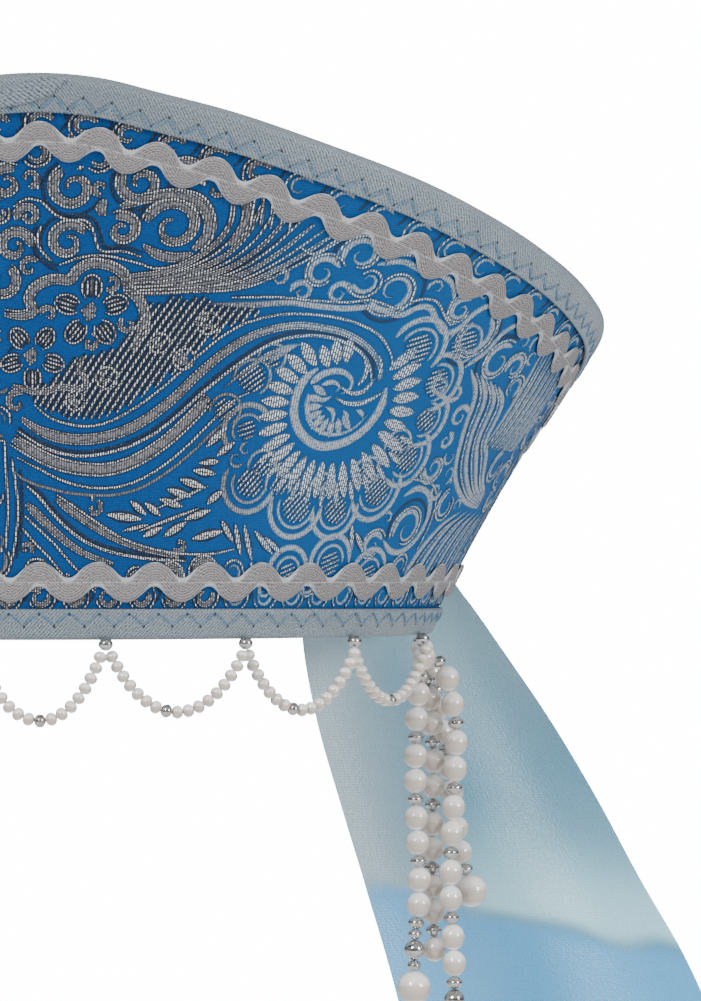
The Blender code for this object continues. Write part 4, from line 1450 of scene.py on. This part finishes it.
# %% Ribbons
RIBBON_CLOTH, RIBBON_WIDTH, RIBBON_TOP, RIBBON_DROP = 0.0010, 0.0770, 0.0280, 0.1250
RIBBON_REACH, RIBBON_FOLD, RIBBON_INSET = 0.0440, 0.0022, 0.0045
RIBBON_LENGTH, THIN = 0.135, 0.0005
RIBBON_SECTIONS = rows_of("""0 .030 .27 .4, -.064 .010 .35 .4, -.128 .020 .44 .4, -.184 .057 .53 .4,
    -.244 .098 .62 .5, -.402 .291 .75 .8, -.559 .487 .83 1, -.717 .675 .89 1, -.874 .870 .96 1,
    -1 1 1 1""")  # height, how far outwards, width and depth of the folds, in shares
SWELL, SWELL_REACH = 0.0022, 0.016  # how deep the slanting fold is, and how long
FOLD_DROP, FOLD_SIDE, FOLD_SLOPE = 0.0684, 0.107, 0.22  # where it runs
RIBBON_ROWS = 60


def above_fold(height, side):
    """Metres above the slanting fold, for sockets as well as for arrays."""
    return height + FOLD_DROP + (side - FOLD_SIDE) * FOLD_SLOPE


ribbon_satin, start = finish("ribbon_satin", Roughness=0.30, Specular_IOR_Level=0.5)
cloth = on_cloth(start)
u, v, _ = split(cloth)
rib = ribs(u, 0.5)
slub = noise(cloth, 1.4).smooth(0.3, 0.7)
broad = noise(cloth, 0.035, 1.0).smooth(0.3, 0.7)
side, _, height = split(in_space(start))
side = abs(side)
above = above_fold(height, side) + (broad - 0.5) * 0.004
# painted shade: below the slanting fold the cloth is painted a deeper blue
lower = 1 - above.smooth(-0.003, 0.001)
# painted highlight: a pale blue sheen painted along the slanting fold
painted_sheen = above.smooth(-0.001, 0.003) * (1 - above.smooth(0.004, 0.030))
painted_sheen = painted_sheen * (side - 0.085).smooth(0.0, 0.03)
tone = broad.mix((0.13, 0.36, 0.50), (0.19, 0.42, 0.55))
tone = (height + 0.045).smooth(0.0, 0.06).mix(tone, (0.27, 0.42, 0.48))
tone = ((0 - v).smooth(2, 34) * 0.65).mix(tone, (0.50, 0.59, 0.62))
tone = (lower * 0.75).mix(tone, (0.07, 0.44, 0.86))
tone = (painted_sheen * (slub * 0.2 + 0.78)).mix(tone, (0.48, 0.88, 1.0))
tone = ((rib * 0.6 + slub * 0.4) * 0.25).mix(tone, (0.06, 0.20, 0.32))
wire_up(ribbon_satin, rib * 0.5 + slub, 0.00006, Base_Color=tone)


def ribbon(side, mirror):
    """The ribbon on one side."""
    end = crown_face(np.float64(END_ANGLE), RIM_BINDING)
    middle = end[0] - RIBBON_INSET
    behind = end[1] + STAND + GAP + RIBBON_CLOTH / 2 + RIBBON_FOLD * RIBBON_SECTIONS[0][3]
    sections = smooth_line(RIBBON_SECTIONS)
    rows = 2 * RIBBON_ROWS + 2

    def across(t):
        """Which side a row is on, and its share of the way across."""
        row = np.rint(t * rows).astype(int) % rows
        front = row <= RIBBON_ROWS
        return front, np.where(front, row, rows - 1 - row) / RIBBON_ROWS - 0.5

    def place(s, t):
        at = np.linspace(0, 1, len(sections))
        height, reach, width, depth = (np.interp(s, at, part) for part in sections.T)
        front, share = across(t)
        x = middle + reach * RIBBON_REACH + share * width * RIBBON_WIDTH
        z = RIBBON_TOP + height * RIBBON_DROP
        wave = RIBBON_FOLD * depth * np.cos(2 * pi * 1.5 * share)
        above = above_fold(z, x)
        swell = SWELL / (1 + np.exp(-above / 0.0012)) * np.exp(-np.maximum(above, 0) / SWELL_REACH)
        y = behind - wave - swell + np.where(front, -THIN / 2, THIN / 2)
        return np.stack((x * mirror, y, z), axis=1)

    def flat(s, t):
        return s * RIBBON_LENGTH * 1000, across(t)[1] * RIBBON_WIDTH * 1000

    piece = laid(f"ribbon_satin_{side}", 120, rows, place, flat, ribbon_satin)
    dressed(piece, "ribbon_satin", f"ribbon_{side}")


ribbon("right", 1.0)
ribbon("left", -1.0)

# %% [markdown]
# ## The copied balls go
#
# The two balls that were copied go away.

# %% The copied balls go
bpy.data.objects.remove(pearl_start)
bpy.data.objects.remove(silver_start)
